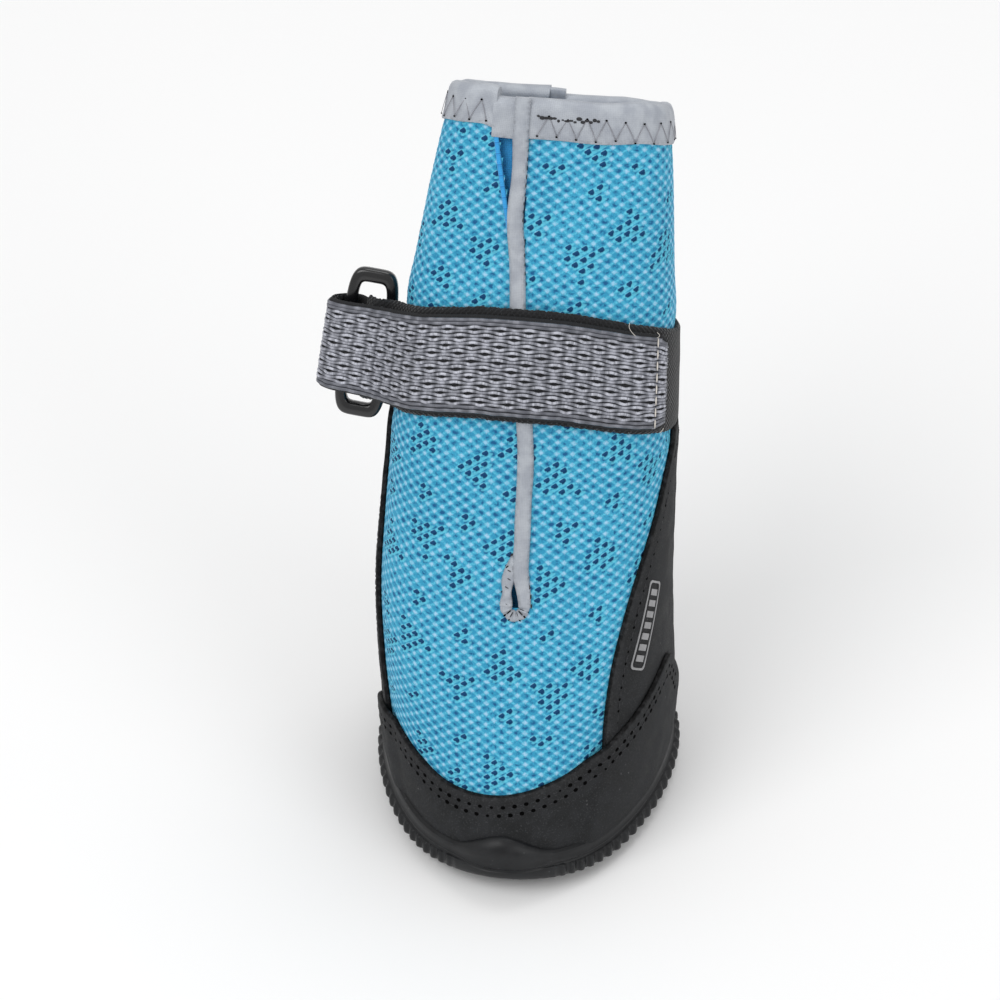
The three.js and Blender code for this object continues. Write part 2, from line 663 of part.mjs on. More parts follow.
addPiece('outsole', outsole(), RUBBER);
addPiece('insole', insole(), FOAM);
addPiece('upper', upper(), MESH_FABRIC);
addPiece('gusset', gusset(), BLUE_TRICOT);
addPiece('toe_cap', toeCap(), BLACK_LEATHER);
addPiece('quarter', quarter(), BLACK_LEATHER);
addPiece('throat_binding', throatBinding(), GREY_TAPE);
addPiece('collar_binding', collarBinding(), GREY_TAPE);
addPiece('strap', strap(), GREY_WEBBING);
addPiece('strap_ring', strapRing(), BLACK_PLASTIC);
addPiece('ring_loop', ringLoop(), BLACK_WEBBING);

export default boot;
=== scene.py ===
"""Looks of a left dog boot: air-mesh shaft, leather toe cap and heel panel, rubber cup sole,
grey reflective tapes and a webbing strap folded through a slot ring.

Everything is made from one surface, the upper's outer face. A place on it is an angle round the
boot (0 at the front, positive to the outer side, +X) and a level (the height of the section's
front point). Sizes are in millimetres and become metres when a mesh is made.
"""

import math

import bpy
import numpy as np
from mathutils import Matrix, Vector

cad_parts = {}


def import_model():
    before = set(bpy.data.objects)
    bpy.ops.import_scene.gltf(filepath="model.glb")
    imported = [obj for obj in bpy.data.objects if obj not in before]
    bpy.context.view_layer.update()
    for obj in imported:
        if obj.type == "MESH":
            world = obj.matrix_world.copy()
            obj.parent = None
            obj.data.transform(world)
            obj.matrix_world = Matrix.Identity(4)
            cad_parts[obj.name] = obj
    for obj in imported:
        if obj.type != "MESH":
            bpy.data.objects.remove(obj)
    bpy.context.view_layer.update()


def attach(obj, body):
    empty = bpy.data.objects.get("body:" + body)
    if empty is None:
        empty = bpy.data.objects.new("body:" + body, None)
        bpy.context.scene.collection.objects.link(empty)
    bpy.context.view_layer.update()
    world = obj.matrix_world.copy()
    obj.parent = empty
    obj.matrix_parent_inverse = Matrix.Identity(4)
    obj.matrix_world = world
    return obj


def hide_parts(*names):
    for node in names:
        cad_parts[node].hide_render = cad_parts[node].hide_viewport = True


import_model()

MM = 0.001
RNG = np.random.default_rng(7)

# ------------------------------------------------------------------ driving sizes, as in the CAD

WALL = 2.0
LEATHER = 1.0
GAP = 0.3
SOLE_HALF_WIDTH = 30.0
SOLE_HALF_LENGTH = 36.5
SOLE_ROUND = 0.012
SOLE_EGG = 0.1
SOLE_TOE = 2.0
LUG_HEIGHT = 1.8
EDGE_LUG = dict(count=18, inset=5.4, width=4.6, length=6.4)
BLOCK = dict(rows=(-24, -16, -8, 0, 15, 23), pitch=8, bow=1.2, width=5.4, length=4.6)
BLOCK_SHORT_ROW = 20  # rows further out than this have fewer blocks
FLOOR_Z = 5.3
LEDGE_TOP = 5.2
TOE_SPRING = 3.0
TOE_SPRING_START = 21.0
HEEL_SPRING = 0.8
HEEL_SPRING_START = 31.0
SPRING_FADE_LEVEL = 45.0
SLIT_END = 55.5
FRONT_RISE = 1.11
QUARTER_TOP = 84.0
KNIT_COLUMN = 1.55  # spacing of the knit's dots
KNIT_ROW = 2.2
STRAP_LEVEL = 97.0
RING = dict(x=-33.7, depth=-2.0, width=10.4, height=31.0, bar=2.3, end=2.8, thick=2.4)
RING_ANGLE = -62  # round the shaft, in degrees


def table(names, *rows):
    """A small table as one array for each named column."""
    return dict(zip(names.split(), np.array(rows, float).T))


SECTIONS = table(
    "level frontY backY backZ half round side egg toe",
    (5.6, -33.0, 33.6, 5.6, 26.4, 0.010, 0.0, 0.1, 2),
    (9.0, -33.2, 34.0, 9.0, 27.0, 0.012, 0.0, 0.1, 2),
    (13.5, -32.2, 34.6, 13.3, 27.6, 0.016, 0.0, 0.095, 1.9),
    (18.0, -30.2, 35.2, 17.4, 28.0, 0.022, 0.0, 0.085, 1.7),
    (24.0, -27.4, 35.6, 22.5, 28.3, 0.030, 0.0, 0.07, 1.4),
    (35.0, -22.2, 36.1, 31.5, 28.4, 0.040, 0.0, 0.035, 0.7),
    (50.0, -15.1, 36.5, 44.0, 28.4, 0.045, 0.2, 0, 0),
    (65.0, -7.9, 37.2, 56.5, 28.1, 0.045, 0.5, 0, 0),
    (80.0, -0.7, 38.4, 69.5, 27.5, 0.045, 0.9, 0, 0),
    (95.0, 6.5, 40.0, 83.0, 26.8, 0.045, 1.4, 0, 0),
    (110.0, 13.8, 41.8, 97.5, 25.8, 0.045, 2.0, 0, 0),
    (125.0, 21.0, 43.8, 112.5, 24.2, 0.050, 2.9, 0, 0),
    (137.0, 26.8, 45.5, 125.5, 22.6, 0.055, 3.7, 0, 0),
    (146.5, 31.4, 47.0, 136.6, 20.8, 0.060, 4.3, 0, 0),
)
BOTTOM = SECTIONS["level"][0]
TOP = SECTIONS["level"][-1]

SLIT_LINE = table("level angle", (50, 3.6), (84, 1.6), (110, -5.6), (148, -14.5))
QUARTER_RIGHT = table(
    "level angle",
    (6, 46), (20, 44), (34, 41), (46, 43), (58, 51), (70, 66), (84, 86),
)
QUARTER_LEFT = table("level angle", (6, 66), (36, 67), (58, 72), (84, 88))
TOE_CAP_EDGE = table(
    "angle level",
    (-104, 11), (-94, 15.5), (-82, 20.5), (-66, 25), (-46, 23.8), (-24, 20.6), (0, 20.4),
    (24, 23.8), (46, 29), (66, 33), (80, 35), (88, 33), (104, 21), (118, 10.5),
)
STRAP_LEVELS = table(
    "angle level",
    (-90, 94.5), (-50, 97.4), (0, 99.6), (50, 97.2), (90, 94.5), (180, 94.5),
)
RIM_LEVEL = 8.6
TOE_GUARD = 3.6
TOE_GUARD_ANGLE = 26.0

# Soft troughs and ridges of the shaft, each a blurred spot on the upper's surface.
CREASES = table(
    "angle level spread rise height",
    (3, 52, 7, 3.0, 0.5),
    (-9, 58, 5, 6.0, 0.45),
    (14, 60, 6, 8.0, 0.35),
    (28, 76, 9, 5.0, -0.4),
    (-30, 72, 8, 7.0, 0.4),
    (-34, 116, 9, 6.0, -0.45),
    (24, 121, 8, 7.0, 0.5),
    (52, 112, 9, 4.0, -0.4),
    (-14, 40, 12, 5.0, -0.3),
    (30, 36, 10, 6.0, 0.3),
    (150, 70, 14, 5.0, -0.6),
    (205, 60, 14, 6.0, 0.5),
    (180, 112, 16, 5.0, -0.6),
    (170, 124, 16, 4.0, 0.5),
)


# ------------------------------------------------------------------ small maths

def mix(a, b, t):
    return a + (b - a) * t


def smooth(x, low, high):
    t = np.clip((x - low) / (high - low), 0, 1)
    return t * t * (3 - 2 * t)


def lookup(rows, key, value, at):
    """Smooth interpolation of a table: rows[value] as a function of rows[key]."""
    x, y = rows[key], rows[value]
    last = len(x) - 1
    at = np.clip(at, x[0], x[last])
    i = np.clip(np.searchsorted(x, at, side="left") - 1, 0, last - 1)

    def slope(k):
        a, b = np.maximum(k - 1, 0), np.minimum(k + 1, last)
        return (y[b] - y[a]) / (x[b] - x[a])

    span = x[i + 1] - x[i]
    s = (at - x[i]) / span
    s2, s3 = s * s, s * s * s
    return (
        (2 * s3 - 3 * s2 + 1) * y[i] + (s3 - 2 * s2 + s) * span * slope(i)
        + (3 * s2 - 2 * s3) * y[i + 1] + (s3 - s2) * span * slope(i + 1)
    )


def unit(v):
    return v / np.maximum(np.linalg.norm(v, axis=-1, keepdims=True), 1e-9)


def stack(x, y, z):
    return np.stack(np.broadcast_arrays(x, y, z), -1).astype(float)


def fold_angle(angle):
    """The same angle between -180 and 180 degrees, in degrees."""
    return np.degrees(np.arctan2(np.sin(angle), np.cos(angle)))


# ------------------------------------------------------------------ the upper's own surface

def spring(y):
    toe = np.maximum(0, -y - TOE_SPRING_START) / (SOLE_HALF_LENGTH - TOE_SPRING_START)
    heel = np.maximum(0, y - HEEL_SPRING_START) / (SOLE_HALF_LENGTH - HEEL_SPRING_START)
    return TOE_SPRING * toe * toe + HEEL_SPRING * heel * heel


def section(level, name):
    return lookup(SECTIONS, "level", name, level)


def across(angle, squareness, egg):
    oval = (np.sin(angle) + squareness * np.sin(3 * angle)) / (1 - squareness)
    return oval - egg * np.sin(2 * angle)


def along(angle, squareness):
    return (np.cos(angle) - squareness * np.cos(3 * angle)) / (1 - squareness)


def bare(angle, level):
    level = np.clip(level, BOTTOM, TOP)
    squareness = section(level, "round")
    back = (1 - along(angle, squareness)) / 2
    y = mix(section(level, "frontY"), section(level, "backY"), back)
    fade = 1 - smooth(level, BOTTOM, SPRING_FADE_LEVEL)
    z = mix(level, section(level, "backZ"), back) + spring(y) * fade
    side = section(level, "side") + section(level, "toe") * (1 + np.cos(angle)) / 2
    x = side + section(level, "half") * across(angle, squareness, section(level, "egg"))
    return stack(x, y, z)


def rise(angle, level):
    step = 0.5
    low = np.clip(level, BOTTOM + step, TOP - step)
    return unit(bare(angle, low + step) - bare(angle, low - step))


def creases(angle, level):
    degrees = np.degrees(angle)
    total = np.zeros(np.broadcast(angle, level).shape)
    for a, l, spread, tall, height in zip(*CREASES.values()):
        turn = (degrees - a + 180) % 360 - 180
        total = total + height * np.exp(-(turn / spread) ** 2 - ((level - l) / tall) ** 2)
    strap = lookup(STRAP_LEVELS, "angle", "level", (degrees + 90) % 360 - 90)
    total = total - 0.55 * np.exp(-((level - strap) / 8.5) ** 4)
    total = total + 0.35 * np.exp(-((level - strap - 14) / 4.5) ** 2)
    return total + 0.3 * np.exp(-((level - strap + 14) / 4.5) ** 2)


def surface(angle, level, stand=0.0):
    """A point that stands off the upper's outer face."""
    angle, level = np.broadcast_arrays(np.asarray(angle, float), np.asarray(level, float))
    step = 0.01
    up = rise(angle, level)
    around = bare(angle + step, level) - bare(angle - step, level)
    out = unit(np.cross(around, up))
    past = level - np.clip(level, BOTTOM, TOP)
    soft = stand + creases(angle, level)
    return bare(angle, level) + out * soft[..., None] + up * past[..., None]


def slit_angle(level, mm=0.0):
    inside = np.clip(level, BOTTOM, TOP)
    squareness = section(inside, "round")
    per_mm = (1 - squareness) / (section(inside, "half") * (1 + 3 * squareness))
    return np.radians(lookup(SLIT_LINE, "level", "angle", level)) + mm * per_mm


def slit_mm(angle, level):
    """Millimetres across from the slit's line, positive to +X."""
    per_mm = slit_angle(level, 1.0) - slit_angle(level, 0.0)
    turn = (angle - slit_angle(level) + np.pi) % (2 * np.pi) - np.pi
    return turn / per_mm


def rim_level(angle):
    return RIM_LEVEL + TOE_GUARD * (1 - smooth(np.abs(fold_angle(angle)), 0, TOE_GUARD_ANGLE))


# ------------------------------------------------------------------ meshes

def mesh_object(name, points, faces, material, attributes=None, sharp=None):
    """A mesh from points in millimetres and one array of quads or triangles, or a list of them."""
    mesh = bpy.data.meshes.new(name)
    groups = faces if isinstance(faces, list) else [faces]
    groups = [np.asarray(g, np.int32) for g in groups if len(g)]
    loops = np.concatenate([g.ravel() for g in groups])
    sizes = np.concatenate([np.full(len(g), g.shape[1], np.int32) for g in groups])
    mesh.vertices.add(len(points))
    mesh.vertices.foreach_set("co", (np.asarray(points, float) * MM).ravel())
    mesh.loops.add(len(loops))
    mesh.loops.foreach_set("vertex_index", loops)
    mesh.polygons.add(len(sizes))
    starts = np.concatenate([[0], np.cumsum(sizes)[:-1]]).astype(np.int32)
    mesh.polygons.foreach_set("loop_start", starts)
    for key, values in (attributes or {}).items():
        values = np.asarray(values, np.float32)
        kind = "FLOAT" if values.ndim == 1 else "FLOAT_VECTOR"
        layer = mesh.attributes.new(key, kind, "POINT")
        layer.data.foreach_set("value" if values.ndim == 1 else "vector", values.ravel())
    mesh.update(calc_edges=True)
    mesh.validate()
    mesh.shade_smooth()
    if sharp:
        mesh.set_sharp_from_angle(angle=math.radians(sharp))
    made = bpy.data.objects.new(name, mesh)
    bpy.context.scene.collection.objects.link(made)
    mesh.materials.append(material)
    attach(made, "root")
    return made


def grid_faces(columns, rows, ring=False, flip=False, start=0):
    """Quads of a grid whose points are stored column by column."""
    i, j = np.meshgrid(np.arange(columns if ring else columns - 1), np.arange(rows - 1),
                       indexing="ij")
    n = (i + 1) % columns
    quads = np.stack([i * rows + j, n * rows + j, n * rows + j + 1, i * rows + j + 1], -1)
    quads = quads.reshape(-1, 4) + start
    return quads[:, ::-1] if flip else quads


def outward(points, groups):
    """The faces of a closed solid, turned over where they face inwards."""
    volume = 0.0
    for faces in groups:
        corners = points[faces]
        for k in range(1, faces.shape[1] - 1):
            normals = np.cross(corners[:, k], corners[:, k + 1])
            volume += np.einsum("ij,ij->", corners[:, 0], normals)
    return groups if volume > 0 else [faces[:, ::-1] for faces in groups]


def two_sided(outer, inner):
    """Points and faces of a closed sheet from its outer and inner grids of points."""
    columns, rows = outer.shape[:2]
    count = columns * rows
    points = np.concatenate([outer.reshape(-1, 3), inner.reshape(-1, 3)])
    faces = [grid_faces(columns, rows), grid_faces(columns, rows, flip=True, start=count)]
    low = np.arange(columns - 1) * rows
    high = low + rows
    faces.append(np.stack([low + count, high + count, high, low], -1))
    top = rows - 1
    faces.append(np.stack([low + top, high + top, high + top + count, low + top + count], -1))
    j = np.arange(rows - 1)
    last = (columns - 1) * rows
    faces.append(np.stack([j + count, j, j + 1, j + 1 + count], -1))
    faces.append(np.stack([last + j, last + j + count, last + j + 1 + count, last + j + 1], -1))
    return points, outward(points, [np.concatenate(faces)])[0]


def with_edges(count, length, radius=0.6):
    """Parameters from 0 to 1 with extra lines near both ends, to round an edge off."""
    share = np.array([0, 0.12, 0.35, 0.7, 1.1]) * radius / length
    middle = np.linspace(share[-1], 1 - share[-1], count)[1:-1]
    return np.concatenate([share, middle, 1 - share[::-1]])


def rounded(distance, radius=0.6):
    """Height, from 0 to 1, of a rounded edge at a distance in from it."""
    t = np.clip(distance / radius, 0, 1)
    return np.sqrt(np.maximum(0, 1 - (1 - t) ** 2))


def bead_shape():
    """A closed bead of unit half length along x, with unit radii along y and z."""
    sides, rings = 8, 5
    turn = np.arange(sides) * 2 * np.pi / sides
    lift = np.linspace(0, np.pi, rings + 2)[1:-1]
    x = -np.cos(lift)[:, None] * np.ones(sides)
    y = np.sin(lift)[:, None] * np.cos(turn)
    z = np.sin(lift)[:, None] * np.sin(turn)
    points = np.concatenate([stack(x, y, z).reshape(-1, 3), [[-1, 0, 0], [1, 0, 0]]])
    quads, caps = [], []
    for r in range(rings - 1):
        for k in range(sides):
            n = (k + 1) % sides
            quads.append([r * sides + k, r * sides + n, (r + 1) * sides + n, (r + 1) * sides + k])
    for k in range(sides):
        n = (k + 1) % sides
        caps.append([rings * sides, n, k])
        caps.append([rings * sides + 1, (rings - 1) * sides + k, (rings - 1) * sides + n])
    return points, *outward(points, [np.array(quads), np.array(caps)])


def beads(name, centres, directions, normals, size, material):
    """Many joined beads, such as stitches: size is half length, half width and half height."""
    shape, quads, caps = bead_shape()
    centres = np.asarray(centres, float)
    x = unit(np.asarray(directions, float))
    z = unit(np.asarray(normals, float))
    y = unit(np.cross(z, x))
    z = np.cross(x, y)
    size = np.broadcast_to(np.asarray(size, float), (len(centres), 3))
    scaled = shape[None] * size[:, None]
    points = (
        centres[:, None] + scaled[..., :1] * x[:, None] + scaled[..., 1:2] * y[:, None]
        + scaled[..., 2:] * z[:, None]
    )
    offset = (np.arange(len(centres)) * len(shape))[:, None, None]
    faces = [(quads[None] + offset).reshape(-1, 4), (caps[None] + offset).reshape(-1, 3)]
    return mesh_object(name, points.reshape(-1, 3), faces, material)


def normals_at(angle, level):
    return unit(surface(angle, level, 1.0) - surface(angle, level, 0.0))


def spaced(points, pitch):
    """Indices as fractions along a dense line of points, one pitch apart."""
    length = np.concatenate([[0], np.cumsum(np.linalg.norm(np.diff(points, axis=0), axis=1))])
    count = max(2, int(length[-1] / pitch))
    wanted = (np.arange(count) + 0.5) * length[-1] / count
    return np.interp(wanted, length, np.arange(len(points))) / (len(points) - 1)


def stitch_line(name, path, pitch, material, hole_material=None,
                thread=(0.72, 0.17, 0.14), hole=0.3, stand=None):
    """A sewn row. path(t) gives angle and level for t from 0 to 1, stand(angle) how far off the
    fabric it lies; thread is a stitch's half size, its length as a share of the pitch."""
    def place(t, more=0.0):
        angle, level = path(t)
        return surface(angle, level, stand(angle) + more)

    t = spaced(place(np.linspace(0, 1, 600)), pitch)
    small = 0.2 / 600
    ahead = place(t + small) - place(t - small)
    size = (thread[0] * pitch / 2, thread[1], thread[2])
    beads(name + "_thread", place(t), ahead, normals_at(*path(t)), size, material)
    # The needle holes are dark beads of painted shade between the stitches.
    if hole_material:
        between = t + (t[1] - t[0]) / 2
        beads(name + "_holes", place(between, -0.02), ahead, normals_at(*path(between)),
              (hole, hole * 0.85, 0.1), hole_material)


# ------------------------------------------------------------------ shader tools

def tint(red, green, blue):
    """A colour from display values 0 to 255."""
    values = np.array([red, green, blue]) / 255
    linear = np.where(values <= 0.04045, values / 12.92, ((values + 0.055) / 1.055) ** 2.4)
    return (*linear, 1.0)


def node(tree, kind, inputs=None, **settings):
    made = tree.nodes.new("ShaderNode" + kind)
    for key, value in settings.items():
        setattr(made, key, value)
    for key, value in (inputs or {}).items():
        if isinstance(value, bpy.types.NodeSocket):
            tree.links.new(value, made.inputs[key])
        else:
            made.inputs[key].default_value = value
    return made


def calc(tree, operation, *values, clamp=False):
    made = node(tree, "Math", dict(enumerate(values)), operation=operation, use_clamp=clamp)
    return made.outputs[0]


def blend_colour(tree, factor, a, b):
    made = node(tree, "Mix", data_type="RGBA")
    for index, value in ((0, factor), (6, a), (7, b)):
        if isinstance(value, bpy.types.NodeSocket):
            tree.links.new(value, made.inputs[index])
        else:
            made.inputs[index].default_value = value
    return made.outputs[2]


def ramp(tree, value, low, high, to_low=0.0, to_high=1.0):
    made = node(tree, "MapRange", {"Value": value, "From Min": low, "From Max": high,
                                   "To Min": to_low, "To Max": to_high},
                interpolation_type="SMOOTHSTEP")
    return made.outputs["Result"]


def new_group(name, inputs, outputs):
    """An empty shader group with named sockets; inputs maps a name to a default or "vector"."""
    tree = bpy.data.node_groups.new(name, "ShaderNodeTree")
    for key, default in inputs.items():
        if default == "vector":
            tree.interface.new_socket(key, in_out="INPUT", socket_type="NodeSocketVector")
        else:
            made = tree.interface.new_socket(key, in_out="INPUT",
                                             socket_type="NodeSocketFloat")
            made.default_value = default
    for key in outputs:
        tree.interface.new_socket(key, in_out="OUTPUT", socket_type="NodeSocketFloat")
    return tree, tree.nodes.new("NodeGroupInput").outputs, tree.nodes.new("NodeGroupOutput")


def use_group(tree, group, **inputs):
    made = tree.nodes.new("ShaderNodeGroup")
    made.node_tree = group
    for key, value in inputs.items():
        key = key.replace("_", " ")
        if isinstance(value, bpy.types.NodeSocket):
            tree.links.new(value, made.inputs[key])
        else:
            made.inputs[key].default_value = value
    return made.outputs


def noise(tree, vector, scale, detail=2.0, roughness=0.5):
    made = node(tree, "TexNoise", {"Vector": vector, "Scale": scale, "Detail": detail,
                                   "Roughness": roughness})
    return made.outputs["Fac"]


def lattice_group():
    """Masks of a knitted net whose dots lie on a centred lattice, in millimetres.

    Threads cross at the dots, and a pit lies in the middle of each mesh; the masks for the pits
    and for the open holes serve as painted shade in the fabric's colour.
    """
    tree, given, out = new_group(
        "net_lattice", {"Chart": "vector", "Open": 0.0, "Column": KNIT_COLUMN, "Row": KNIT_ROW},
        ("Dot", "Thread", "Shaded pit", "Hole shade", "Strand"))
    drift = noise(tree, given["Chart"], 0.8, 2.0)
    axes = node(tree, "SeparateXYZ", {0: given["Chart"]}).outputs
    wide = calc(tree, "MULTIPLY", given["Column"], 2.0)
    x = calc(tree, "DIVIDE", calc(tree, "MULTIPLY_ADD", drift, 0.5, axes[0]), wide)
    y = calc(tree, "DIVIDE", calc(tree, "MULTIPLY_ADD", drift, -0.4, axes[1]), given["Row"])
    round_reach, diamond_reach = [], []
    for shift in (0.0, 0.5):
        a = calc(tree, "PINGPONG", calc(tree, "ADD", x, 100 + shift), 0.5)
        b = calc(tree, "PINGPONG", calc(tree, "ADD", y, 100 + shift), 0.5)
        a = calc(tree, "MULTIPLY", a, wide)
        b = calc(tree, "MULTIPLY", b, given["Row"])
        squared = calc(tree, "ADD", calc(tree, "MULTIPLY", a, a), calc(tree, "MULTIPLY", b, b))
        round_reach.append(calc(tree, "SQRT", squared))
        diamond_reach.append(calc(tree, "ADD", calc(tree, "MULTIPLY", a, 0.85), b))
    ragged = noise(tree, given["Chart"], 1.6, 2.0)
    near = calc(tree, "MULTIPLY_ADD", ragged, 0.34, calc(tree, "MINIMUM", *diamond_reach))
    tree.links.new(ramp(tree, near, 0.92, 0.36), out.inputs["Dot"])
    ways = []
    for sign in (1.0, -1.0):
        turn = calc(tree, "MULTIPLY", calc(tree, "MULTIPLY_ADD", y, sign, x), math.pi)
        ways.append(calc(tree, "ABSOLUTE", calc(tree, "SINE", turn)))
    tree.links.new(ramp(tree, calc(tree, "MINIMUM", *ways), 0.6, 0.15), out.inputs["Thread"])
    middle = calc(tree, "MULTIPLY", *ways)
    pit = calc(tree, "MULTIPLY", ramp(tree, middle, 0.5, 0.9),
               ramp(tree, noise(tree, given["Chart"], 0.9, 2.0), 0.4, 0.62))
    tree.links.new(pit, out.inputs["Shaded pit"])
    hole = calc(tree, "MULTIPLY_ADD", ragged, 0.16, calc(tree, "MINIMUM", *round_reach))
    tree.links.new(calc(tree, "MULTIPLY", ramp(tree, hole, 0.86, 0.6),
                        ramp(tree, given["Open"], 0.4, 0.6)), out.inputs["Hole shade"])
    strand = calc(tree, "SINE", calc(tree, "MULTIPLY", calc(tree, "ADD", x, y), 6 * math.pi))
    tree.links.new(calc(tree, "MULTIPLY_ADD", strand, 0.5, 0.5), out.inputs["Strand"])
    return tree


def weave_group():
    """Plain weave of two crossing yarns on charted millimetres."""
    tree, given, out = new_group("weave", {"Chart": "vector", "Pitch": 0.5, "Uneven": 0.3},
                                 ("Height", "Gap", "Tone"))
    axes = node(tree, "SeparateXYZ", {0: given["Chart"]}).outputs
    uneven = noise(tree, given["Chart"], 1.7, 3.0)
    turns = []
    for axis in (0, 1):
        along_axis = calc(tree, "MULTIPLY", calc(tree, "DIVIDE", axes[axis], given["Pitch"]),
                          math.pi)
        turns.append(calc(tree, "ADD", along_axis,
                          calc(tree, "MULTIPLY", uneven, given["Uneven"])))
    waves = [calc(tree, "SINE", turn) for turn in turns]
    product = calc(tree, "MULTIPLY", *waves)
    height = calc(tree, "MULTIPLY_ADD", product, 0.5, 0.5)
    tree.links.new(height, out.inputs["Height"])
    tree.links.new(ramp(tree, calc(tree, "ABSOLUTE", product), 0.18, 0.02), out.inputs["Gap"])
    tree.links.new(noise(tree, given["Chart"], 0.35, 4.0, 0.6), out.inputs["Tone"])
    return tree


def grain_group():
    """Fine leather or moulded grain: height, and a slow change of tone."""
    tree, given, out = new_group("grain", {"Place": "vector", "Pitch": 0.6, "Pores": 0.5},
                                 ("Height", "Tone"))
    frequency = calc(tree, "DIVIDE", 1.0, given["Pitch"])
    scaled = node(tree, "VectorMath", {0: given["Place"], "Scale": frequency},
                  operation="SCALE").outputs[0]
    cells = node(tree, "TexVoronoi", {"Vector": scaled, "Scale": 1.0},
                 feature="DISTANCE_TO_EDGE").outputs["Distance"]
    pebble = ramp(tree, cells, 0.0, 0.22)
    fine = noise(tree, scaled, 2.3, 3.0, 0.6)
    height = calc(tree, "ADD", calc(tree, "MULTIPLY", pebble, given["Pores"]),
                  calc(tree, "MULTIPLY", fine, 0.8))
    tree.links.new(height, out.inputs["Height"])
    tree.links.new(noise(tree, scaled, 0.11, 4.0, 0.6), out.inputs["Tone"])
    return tree


def wear_group():
    """Rubbed patches near an edge; Edge is the distance in from it in millimetres."""
    tree, given, out = new_group("edge_wear", {"Place": "vector", "Edge": 1.0, "Reach": 1.0},
                                 ("Mask",))
    broken = noise(tree, given["Place"], 0.9, 4.0, 0.65)
    near = calc(tree, "SUBTRACT", 1.0, calc(tree, "DIVIDE", given["Edge"], given["Reach"]),
                clamp=True)
    mask = calc(tree, "MULTIPLY", near, ramp(tree, broken, 0.42, 0.66))
    tree.links.new(mask, out.inputs["Mask"])
    return tree


def dust_group():
    """Sparse pale lint and dust specks."""
    tree, given, out = new_group("dust", {"Place": "vector", "Size": 1.2, "Amount": 0.3},
                                 ("Mask",))
    scaled = node(tree, "VectorMath", {0: given["Place"],
                                       "Scale": calc(tree, "DIVIDE", 1.0, given["Size"])},
                  operation="SCALE").outputs[0]
    spots = node(tree, "TexVoronoi", {"Vector": scaled, "Scale": 1.0}).outputs["Distance"]
    specks = ramp(tree, spots, 0.16, 0.05)
    cloud = noise(tree, scaled, 0.23, 3.0)
    mask = calc(tree, "MULTIPLY", specks, ramp(tree, cloud, 0.5, 0.75))
    tree.links.new(calc(tree, "MULTIPLY", mask, given["Amount"]), out.inputs["Mask"])
    return tree


LATTICE = lattice_group()
WEAVE = weave_group()
GRAIN = grain_group()
WEAR = wear_group()
DUST = dust_group()


def start_material(name, **settings):
    """A material with its shader; settings go straight to the shader's sockets."""
    made = bpy.data.materials.new(name)
    made.use_nodes = True
    tree = made.node_tree
    shader = tree.nodes["Principled BSDF"]
    for key, value in settings.items():
        shader.inputs[key.replace("_", " ")].default_value = value
    return made, tree, shader


def attribute(tree, name):
    return node(tree, "Attribute", attribute_name=name).outputs


def millimetres(tree):
    """The place on the object in millimetres."""
    place = node(tree, "TexCoord").outputs["Object"]
    return node(tree, "VectorMath", {0: place, "Scale": 1000.0}, operation="SCALE").outputs[0]


def finish_material(tree, shader, colour, roughness, height=None, depth=0.1):
    tree.links.new(colour, shader.inputs["Base Color"])
    if isinstance(roughness, bpy.types.NodeSocket):
        tree.links.new(roughness, shader.inputs["Roughness"])
    else:
        shader.inputs["Roughness"].default_value = roughness
    if height is not None:
        bump = node(tree, "Bump", {"Height": height, "Distance": depth * MM, "Strength": 1.0})
        tree.links.new(bump.outputs[0], shader.inputs["Normal"])


def mesh_fabric_material():
    made, tree, shader = start_material("air_mesh_blue", Sheen_Weight=0.04,
                                        Sheen_Roughness=0.4, Specular_IOR_Level=0.25)
    chart = attribute(tree, "chart")["Vector"]
    masks = use_group(tree, LATTICE, Chart=chart, Open=attribute(tree, "open")["Fac"])
    openness = ramp(tree, attribute(tree, "open")["Fac"], 0.1, 0.6)
    tone = noise(tree, chart, 0.06, 3.0)
    speckle = noise(tree, chart, 1.25, 3.0, 0.65)
    fibres = noise(tree, chart, 3.6, 2.0, 0.6)
    body = blend_colour(tree, ramp(tree, tone, 0.35, 0.65), tint(48, 150, 188),
                        tint(62, 166, 202))
    body = blend_colour(tree, calc(tree, "MULTIPLY", masks["Thread"], 0.8), body,
                        tint(98, 202, 228))
    body = blend_colour(tree, ramp(tree, fibres, 0.38, 0.64, 0.0, 0.5), body,
                        tint(40, 132, 172))
    body = blend_colour(tree, ramp(tree, speckle, 0.48, 0.74, 0.0, 0.4), body,
                        tint(46, 130, 180))
    body = blend_colour(tree, calc(tree, "MULTIPLY", masks["Strand"], 0.14), body,
                        tint(40, 122, 172))
    # Painted shade: the pits between the dots are darkened to deep blue.
    body = blend_colour(tree, calc(tree, "MULTIPLY", masks["Shaded pit"], 0.85), body,
                        tint(14, 74, 128))
    body = blend_colour(tree, calc(tree, "MULTIPLY", openness, 0.6), body,
                        tint(104, 206, 228))
    # Painted highlight: the raised dots are lightened, as if they catch the light.
    bright = calc(tree, "MULTIPLY", masks["Dot"], ramp(tree, speckle, 0.3, 0.6, 0.3, 0.95))
    bright = calc(tree, "MULTIPLY", bright, ramp(tree, fibres, 0.3, 0.5, 0.65, 1.0))
    body = blend_colour(tree, bright, body, tint(166, 208, 236))
    # Painted shade: the open holes are darkened to navy, for the shade inside them.
    body = blend_colour(tree, masks["Hole shade"], body, tint(10, 66, 112))
    height = calc(tree, "MULTIPLY_ADD", masks["Thread"], 0.5, masks["Dot"])
    height = calc(tree, "SUBTRACT", height, masks["Shaded pit"])
    height = calc(tree, "MULTIPLY_ADD", noise(tree, chart, 6.0, 2.0), 0.5, height)
    finish_material(tree, shader, body, 0.75, height, 0.08)
    return made


